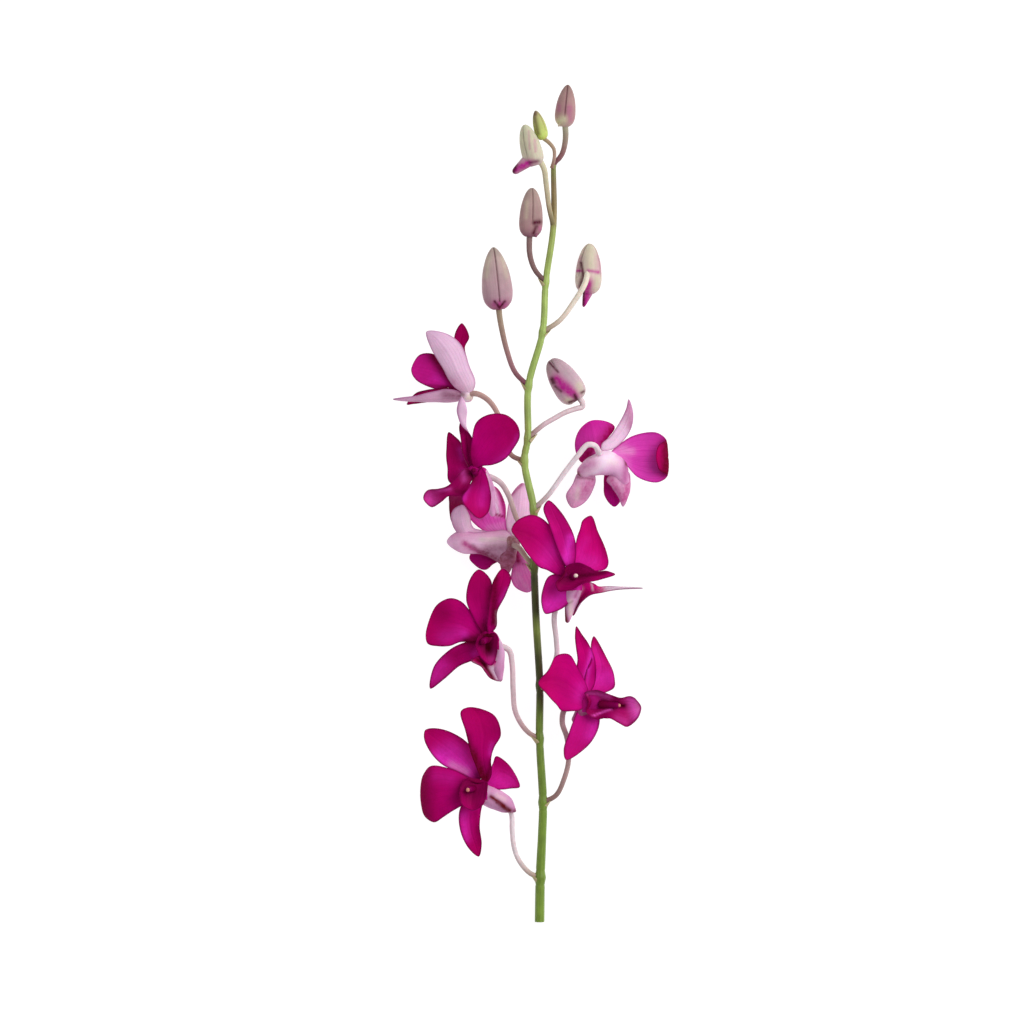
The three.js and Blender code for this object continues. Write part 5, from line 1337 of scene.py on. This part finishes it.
LIPS = {
    "bloom_1": {
        "base": (2, 4, -1), "tip": (0, -9.8, 4.5), "cup": 0.28,
        "left": [(6.3, 3, 1), (6.4, -2.5, 3), (4.4, -8, 3.5)],
        "right": [(-3, 4, 1), (-5.6, -0.5, 3), (-5, -7, 4)]},
    "bloom_2": {
        "base": (0, -2, 0), "tip": (22.3, -3.8, 1), "cup": 0.32,
        "left": [(-2.5, 2.8, 1.8), (3, 4, 3), (8.3, 2, 4.5), (13, 0.7, 5), (17.5, 1.4, 4),
                 (20.6, -0.6, 2.5)],
        "right": [(-2.2, -5.5, 1.5), (2, -8.9, 2.5), (8, -8.4, 4), (12.3, -10.6, 3),
                  (16.4, -12.4, 2.2), (20.8, -8.2, 1.5)]},
    "bloom_3": {
        "base": (1.5, 3, -1), "tip": (2.3, -11.2, 4), "cup": 0.28,
        "left": [(5, 2.5, 1), (4.9, -3.5, 2.5), (4.2, -9, 3)],
        "right": [(-2.5, 2.5, 1.5), (-4.6, -1.5, 3.5), (-2.6, -7.5, 4.5)]},
    "bloom_4": {
        "base": (-1.5, 1, -0.5), "tip": (18.8, 1.9, 3), "cup": 0.22,
        "left": [(-3.2, 5.2, 2), (2, 7, 3), (7, 5.6, 3), (10.5, 3.3, 3), (15.5, 3.3, 3)],
        "right": [(-7.3, -1.5, 3), (-6.3, -5.2, 4.5), (-1, -5.2, 5), (5, -2.2, 5),
                  (12.5, -0.4, 4)]},
    "bloom_5": {
        "base": (-3, -3, -5), "tip": (-20.3, -7, -9), "cup": 0.22,
        "left": [(-9, 0, -9), (-16, -1, -10)], "right": [(-8, -8.5, -7), (-14, -12.2, -8)]},
    "bloom_6": {
        "base": (-2, 1.5, -1), "tip": (-23.6, -9.8, 2), "cup": 0.28,
        "left": [(-3.5, -4.5, 2.5), (-7, -8.4, 4), (-12.5, -8.8, 4.5), (-15.8, -11.4, 3.8),
                 (-20, -13.6, 2.8)],
        "right": [(-5.2, 3.6, 2.5), (-10, -1.5, 5), (-13, -4.2, 4.8), (-17, -5.4, 4),
                  (-22, -6.2, 2.8)]},
    "bloom_7": {
        "base": (4, -6, -6), "tip": (7.5, -24.3, -9), "cup": 0.2,
        "left": [(2.8, -12, -8), (3.3, -20, -9)], "right": [(9, -11, -9), (11, -20, -9)]},
    "bloom_8": {
        "base": (-4.5, 1, -5.5), "tip": (-22, 9, -9), "cup": 0.22,
        "left": [(-9, 1.5, -9), (-17, 5, -10)], "right": [(-9, 7, -8), (-16, 12, -8)]},
}
LIP_THICKNESS = 0.6
LIP_FRILL = 0.8
LIP_SEED = 200

# Velvety, almost wine-red tissue, darkest in the throat and along the veins
lip_face = petal_material("wine_magenta_lip", (
    "#8a0040", "#9c0058", "#b8086c", "#5e0030", "#800048", "#f458cc", "#44000c", "#e8c0d8"), veins=0.4)
lip_back = petal_material("dusky_magenta_lip_back", (
    "#a81078", "#a00864", "#b00c80", "#7c0048", "#840050", "#e048b8", "#5c0018", "#e8c0d8"), veins=0.35)

for number, (name, blade) in enumerate(LIPS.items()):
    parts = new_parts()
    add_blade(parts, blade, LIP_THICKNESS, LIP_FRILL, LIP_SEED + number, (0, 1), TONES[name],
              STROKES[name]["lip"])
    piece = made_of(parts, f"frilled_lip_of_{name}", CENTRES[name], [lip_face, lip_back])
    settle(piece, [f"{name}_lip"])


# The columns and their anther caps
# In the middle of each bloom the fused stamen and style stand as a short, waxy, wine-red column
# that is hollowed towards the lip, under a small cap of two halves.

# The foot and the head of each column
COLUMNS = {
    "bloom_1": ((1, -0.5, -2), (-2, -1, 3.5)),
    "bloom_2": ((4, -2.3, 0), (12.5, -2.8, 3)),
    "bloom_3": ((0.5, 0.5, -2), (-1.5, -1, 4)),
    "bloom_4": ((-0.5, 0.5, -2), (1.5, 1.3, 4.5)),
    "bloom_5": ((-4, -2, -4), (-10, -4, -9)),
    "bloom_6": ((-0.5, 0.5, -2.5), (-1.5, 2.6, 3)),
    "bloom_7": ((4, -5, -5), (5, -10, -10)),
    "bloom_8": ((-5, 2, -4), (-10, 4.5, -8)),
}
COLUMN_RADIUS = 1.6
COLUMN_RINGS = 26
COLUMN_SIDES = 32
# A column is a little thicker at its foot, tapers, and rounds off over the last of its length
FOOT_THICKNESS = 1.1
COLUMN_TAPER = 0.25
ROUND_FROM = 0.9
ROUNDING = 6
HOLLOW_DEPTH = 0.35
HOLLOW_WIDTH = 0.5

# Waxy wine-red tissue
column_skin = petal_material("waxy_wine_column", (
    "#64002c", "#720038", "#880054", "#6c0034", "#7c0040", "#d040a0", "#480010", "#d8a0c0"),
    veins=0.2, roughness=0.42)
# Waxy cap tissue, cream to salmon. The wine-red tint is painted shade, for caps that sit in the
# darkest throats
CAP_TINTS = {
    "cream": ("#e0a4a0", "#f0ccc0", "#f6ded6"),
    "salmon": ("#c06468", "#d88478", "#e29a8c"),
    "wine": ("#50001c", "#64002c", "#780040"),
}
# The tint of each cap and its radius
CAPS = {
    "bloom_1": ("salmon", 0.9), "bloom_2": ("salmon", 0.8), "bloom_3": ("wine", 1),
    "bloom_4": ("cream", 0.95), "bloom_5": ("cream", 1), "bloom_6": ("wine", 1),
    "bloom_7": ("cream", 1), "bloom_8": ("cream", 1),
}
CAP_RINGS = 22
# The angle from its pole to its first ring
CAP_POLE = 0.06
CLEFT_DEPTH = 0.16
CLEFT_WIDTH = 0.22
# The share of its radius by which a cap rises over the column's head
CAP_RISE = 0.92

cap_skins = {}
for tint, (low, middle, high) in CAP_TINTS.items():
    cap_skins[tint] = petal_material(f"waxy_{tint}_cap", (
        low, middle, high, low, low, high, low, high), veins=0.2, roughness=0.42)


def loft_parts(rings):
    """The parts of a closed round piece over rings of points, with a point at each end."""
    parts = new_parts()
    sides, last = len(rings[0]), len(rings) - 1
    for row, ring in enumerate(rings):
        parts["points"] += ring
        parts["uv"] += [(column / sides, row / last) for column in range(sides)]
    edges = [(column, (column + 1) % sides) for column in range(sides)]
    for start in range(0, last * sides, sides):
        parts["faces"] += [[start + a, start + b, start + b + sides, start + a + sides]
                           for a, b in edges]
    for row in (0, last):
        end, start = len(parts["points"]), row * sides
        parts["points"].append(np.mean(rings[row], axis=0))
        parts["uv"].append((0.5, row / last))
        parts["faces"] += [[end, start + a, start + b] if row else [end, start + b, start + a]
                           for a, b in edges]
    parts["slots"] = [0] * len(parts["faces"])
    for kind in LOOKS:
        parts[kind] = [float(kind == "tone")] * len(parts["points"])
    return parts


NEARLY_UP = (0.3, 0.2, 1.0)


def cross_axes(axis):
    """Two unit directions across an axis, the second as near to up as it can be."""
    axis = unit(axis)
    upwards = np.array(NEARLY_UP)
    up = unit(upwards - axis * (axis @ upwards))
    return np.cross(up, axis), up


def angles_round(count):
    """Angles all the way round, evenly apart."""
    return np.linspace(0, 2 * np.pi, count, endpoint=False)


def round_point(centre, reach, angle, side, up):
    """A point at a reach and an angle round a centre, on two directions across its axis."""
    return centre + reach * (math.cos(angle) * side + math.sin(angle) * up)


def column_rings(foot, head, side, up, lip_angle):
    """The rings of a column from its foot to its head, hollowed towards the lip."""
    rings = []
    for share in np.linspace(0, 1, COLUMN_RINGS):
        rounded = math.sqrt(1 - max(share - ROUND_FROM, 0) * ROUNDING)
        radius = COLUMN_RADIUS * (FOOT_THICKNESS - COLUMN_TAPER * share) * rounded
        ring = []
        for angle in angles_round(COLUMN_SIDES):
            off = np.angle(np.exp(1j * (angle - lip_angle)))
            hollow = HOLLOW_DEPTH * np.exp(-(off / HOLLOW_WIDTH) ** 2)
            reach = radius * (1 - hollow * math.sin(math.pi * share))
            ring.append(round_point(foot + (head - foot) * share, reach, angle, side, up))
        rings.append(ring)
    return rings


def cap_rings(foot, head, side, up, lip_angle, radius):
    """The rings of an anther cap on the head of a column, parted by a cleft."""
    axis = unit(head - foot)
    rings = []
    for turn in np.linspace(CAP_POLE, np.pi - CAP_POLE, CAP_RINGS):
        centre = head - axis * math.cos(turn) * radius * CAP_RISE
        ring = []
        for angle in angles_round(COLUMN_SIDES):
            cleft = CLEFT_DEPTH * np.exp(-(math.cos(angle - lip_angle) / CLEFT_WIDTH) ** 2)
            reach = radius * math.sin(turn) * (1 - cleft)
            ring.append(round_point(centre, reach, angle, side, up))
        rings.append(ring)
    return rings


for name, (foot, head) in COLUMNS.items():
    foot, head = np.array(foot, float), np.array(head, float)
    side, up = cross_axes(head - foot)
    lip_way = np.array(LIPS[name]["tip"]) - np.array(LIPS[name]["base"])
    lip_angle = math.atan2(lip_way @ up, lip_way @ side)
    rings = column_rings(foot, head, side, up, lip_angle)
    column = made_of(loft_parts(rings), f"column_of_{name}", CENTRES[name], [column_skin])
    settle(column, [f"{name}_column"])
    tint, cap_radius = CAPS[name]
    rings = cap_rings(foot, head, side, up, lip_angle, cap_radius)
    cap = made_of(loft_parts(rings), f"anther_cap_of_{name}", CENTRES[name], [cap_skins[tint]])
    settle(cap, [f"{name}_anther_cap"])


# The buds
# Closed buds of folded sepals: blunt, fleshy and dusty rose, greener where they are young. The
# three sepals meet in fine seams that run to the tip, and the two lower ones make a short chin.

# Blunt is how full a bud is towards its ends. A chin has a start, an end and the radii there
BUDS = {
    "bud_1": {
        "base": (20.2, 45.4, 18), "tip": (8.3, 63.3, 18), "radius": 6.6, "blunt": 1.6,
        "chin": ((19, 50, 19), (16.6, 44.4, 19), (2.4, 0.7))},
    "bud_2": {
        "base": (-14.4, 85.4, 16), "tip": (-16.8, 112.8, 16), "radius": 6.7, "blunt": 1.1,
        "chin": ((-14.5, 90, 19), (-14, 85.6, 20.5), (2.4, 0.7))},
    "bud_3": {
        "base": (24.9, 92.4, 5.2), "tip": (25.6, 114.4, 5.6), "radius": 5.8, "blunt": 1.35,
        "chin": ((25.7, 96, 5.3), (23, 87.2, 5.3), (3, 0.85))},
    "bud_4": {
        "base": (-0.6, 117.4, 24), "tip": (0.2, 138.9, 24), "radius": 5.2, "blunt": 1.35,
        "chin": ((1.2, 121.5, 25.5), (2, 117.6, 26.5), (2.2, 0.7))},
    "bud_5": {
        "base": (2, 148.8, 23), "tip": (-3.1, 166.7, 23.2), "radius": 4.7, "blunt": 1.35,
        "chin": ((-0.5, 151.8, 23), (-7, 146.4, 23), (3.2, 1.6))},
    "bud_6": {"base": (5.1, 160.2, 20.5), "tip": (1.7, 172.9, 20.5), "radius": 2.9, "blunt": 1.2},
    "bud_7": {
        "base": (14.3, 165.8, 16.5), "tip": (16, 184.3, 16), "radius": 4.5, "blunt": 1.15,
        "chin": ((13.5, 170, 17.5), (12, 166.2, 18), (2, 0.6))},
}
# A bud's radius at places along it, as shares of its length and of its full radius
BUD_PROFILE = ((0, 0.33), (0.05, 0.63), (0.15, 0.91), (0.28, 1), (0.47, 0.95), (0.62, 0.84),
               (0.75, 0.67), (0.87, 0.46), (0.96, 0.22), (1, 0.06))
PROFILE_STEPS = 400
BUD_RINGS = 90
BUD_SIDES = 96
# The rings crowd towards both ends of a bud, and the last one lies just short of its tip
BUD_END = 0.99
# The share of the radius by which a sepal swells out between two seams
BUD_SWELLING = 0.035
# The seams begin by this slope. They are at full depth where the bud's radius is 3 mm or more,
# and equally wide wherever it is over 1.2 mm
SEAMS = 3
SEAM_DEPTH = 0.45
SEAM_WIDTH = 0.34
SEAM_START_SLOPE = 8
DEEP_SEAM_RADIUS = 3
EVEN_SEAM_RADIUS = 1.2
# The place of a bud's chin on the scale from its base to its tip
CHIN_PLACE = 0.02

# Each bud has the colour of its base, its middle and its tip, by its age
BUD_TINTS = {
    "bud_1": ("#e2d2cc", "#d6b8c4", "#a88c94"),
    "bud_2": ("#a8607c", "#c09aa6", "#b8a89c"),
    "bud_3": ("#cca4b4", "#dccac0", "#cfc2b0"),
    "bud_4": ("#905c70", "#ac8888", "#b09c92"),
    "bud_5": ("#ccb0b4", "#d8d0b8", "#c8c8a8"),
    "bud_6": ("#ccd868", "#cede7c", "#ac9c7c"),
    "bud_7": ("#c4a8a0", "#b48c8c", "#9a8078"),
}
# Where the seam that shows lies round each bud, the share of its length at which the seams begin
# and how dark they are painted: partly their own colour and partly shade in the creases
BUD_SEAMS = {
    "bud_1": (1.2, 0.62, 0.3), "bud_2": (1.38, 0, 0.8), "bud_3": (0.4, 0.3, 0.4),
    "bud_4": (1.45, 0.2, 0.5), "bud_5": (0.6, 0.2, 0.2), "bud_6": (2.2, 0.2, 0.3),
    "bud_7": (1.25, 0.2, 0.7),
}
# Soft strokes of colour on each bud. A flush is magenta, a shade dark wine and a fade cream
BUD_STROKES = {
    "bud_1": [
        ("flush", (11, 55), (19, 48), 2.4, 0.95), ("flush", (13, 51.8), (18, 48.2), 1.8, 1),
        ("shade", (8, 62), (11.6, 57.8), 0.5, 1), ("shade", (9, 54.8), (9.6, 53.2), 1, 1),
        ("shade", (10.4, 51.6), (13, 49.4), 0.6, 0.8), ("shade", (19, 47.6), (20.8, 44.2), 0.9, 1),
        ("shade", (16.6, 44.6), (19.2, 45.4), 0.7, 0.9),
        ("shade", (22, 48.8), (23, 49.4), 0.7, 0.8), ("fade", (21, 52), (21.4, 50), 1.9, 0.6),
        ("fade", (15.5, 45.6), (17, 45.4), 1.5, 0.6)],
    "bud_2": [
        ("flush", (-16, 87.8), (-12, 87.8), 1.8, 0.6), ("shade", (-16.2, 89), (-14, 86.2), 0.6, 1),
        ("shade", (-11.8, 89), (-14, 86.2), 0.6, 1), ("fade", (-19, 108), (-20, 100), 1.2, 0.4),
        ("fade", (-13, 108), (-11, 100), 1.2, 0.3)],
    "bud_3": [
        ("fade", (25.6, 112), (26, 105), 2, 0.5), ("flush", (29.6, 109), (30, 102), 1.5, 0.35),
        ("flush", (21.4, 108), (20.4, 103), 1.3, 0.3),
        ("flush", (20, 102.4), (22.4, 102.4), 0.6, 0.9),
        ("flush", (25, 102.6), (29.2, 101.8), 0.8, 0.85),
        # The dark strip down the left side is painted shade on the side away from the light
        ("shade", (21.8, 106), (22.8, 100.4), 0.7, 0.9),
        ("shade", (22.8, 100.4), (21.2, 95.6), 0.9, 0.8), ("fade", (29, 99), (28, 94), 1.8, 0.6),
        ("flush", (25.4, 97), (23.4, 88), 2.3, 1), ("shade", (23, 93), (22.9, 87.4), 0.6, 0.9)],
    "bud_4": [
        ("shade", (1.2, 123.6), (3.4, 123.9), 1.2, 1), ("shade", (2.2, 122), (0.8, 119), 0.9, 0.9),
        ("flush", (3.6, 121.6), (3.9, 120.4), 0.9, 0.4), ("fade", (-2, 133), (-2.4, 126), 1, 0.3)],
    "bud_5": [
        ("flush", (-7.6, 146.8), (-1.6, 149.6), 2, 1), ("flush", (-1, 150.4), (2, 150.4), 1, 0.5),
        ("shade", (-8.2, 145.6), (-6.8, 149), 0.9, 0.9),
        ("shade", (-0.6, 150), (3, 150.8), 0.7, 0.6), ("flush", (-1.2, 164), (-0.8, 156), 0.5, 0.3),
        ("flush", (1.4, 160), (1.8, 155), 0.7, 0.35), ("fade", (-3.6, 160), (-3.6, 155), 1.5, 0.4)],
    "bud_6": [
        ("shade", (0.9, 171.5), (3, 162.8), 0.9, 0.55),
        ("shade", (1.8, 172.9), (1.9, 171.4), 0.9, 0.5)],
    "bud_7": [
        ("fade", (12, 168), (14, 169), 2, 0.9), ("flush", (16.6, 174), (16.6, 169), 1.5, 0.35),
        ("flush", (12, 175), (12.2, 173), 1, 0.3)],
}


def bud_rings(bud, seam_angle, seam_start):
    """The rings of a bud from its base to its tip, and how deep in a seam each point is."""
    foot, head = np.array(bud["base"], float), np.array(bud["tip"], float)
    side, up = cross_axes(head - foot)
    profile = smooth_curve([(*place, 0) for place in BUD_PROFILE],
                           np.linspace(0, 1, PROFILE_STEPS))
    profile[:, 1] **= 1 / bud["blunt"]
    rings, seams = [], []
    for share in 0.5 - 0.5 * np.cos(np.pi * np.linspace(0, BUD_END, BUD_RINGS)):
        radius = bud["radius"] * np.interp(share, profile[:, 0], profile[:, 1])
        shallow = min(radius / DEEP_SEAM_RADIUS, 1)
        ring = []
        for angle in angles_round(BUD_SIDES):
            turn = angle - seam_angle
            off = min(abs(np.angle(np.exp(1j * (turn - k * 2 * np.pi / SEAMS))))
                      for k in range(SEAMS))
            groove = np.exp(-(off * max(radius, EVEN_SEAM_RADIUS) / SEAM_WIDTH) ** 2)
            groove *= np.clip((share - seam_start) * SEAM_START_SLOPE, 0, 1)
            swell = BUD_SWELLING * math.cos(SEAMS * turn + math.pi)
            reach = radius * (1 + swell) - SEAM_DEPTH * groove * shallow
            seams.append(groove)
            ring.append(round_point(foot + (head - foot) * share, reach, angle, side, up))
        rings.append(ring)
    return rings, np.array(seams)


for name, bud in BUDS.items():
    seam_angle, seam_start, seam_shade = BUD_SEAMS[name]
    rings, seams = bud_rings(bud, seam_angle, seam_start)
    parts = loft_parts(rings)
    looks = looks_at(np.array(parts["points"]), 1, BUD_STROKES[name])
    shade = looks["shade"][:len(seams)]
    shade[:] = np.maximum(shade, seam_shade * seams)
    for kind in LOOKS:
        parts[kind] = list(looks[kind])
    if "chin" in bud:
        start, end, radii = bud["chin"]
        points, faces = chin_skin_mesh(start, (radii[0],) * 3, [start, end], radii)
        looks = looks_at(points, 1, BUD_STROKES[name])
        add_skin(parts, points, faces, [CHIN_PLACE] * len(points), looks)
        parts["slots"] += [0] * len(faces)
    # Waxy bud skin with faint veins, magenta on the chin and dark wine in the seams, partly as
    # painted shade in their creases
    skin = petal_material(f"waxy_skin_of_{name}", (
        *BUD_TINTS[name], "#a07088", "#804860", "#bc2c90", "#501428", "#d4ceac"),
        veins=0.2, roughness=0.45)
    piece = made_of(parts, f"folded_{name}", (0, 0, 0), [skin])
    settle(piece, [name])
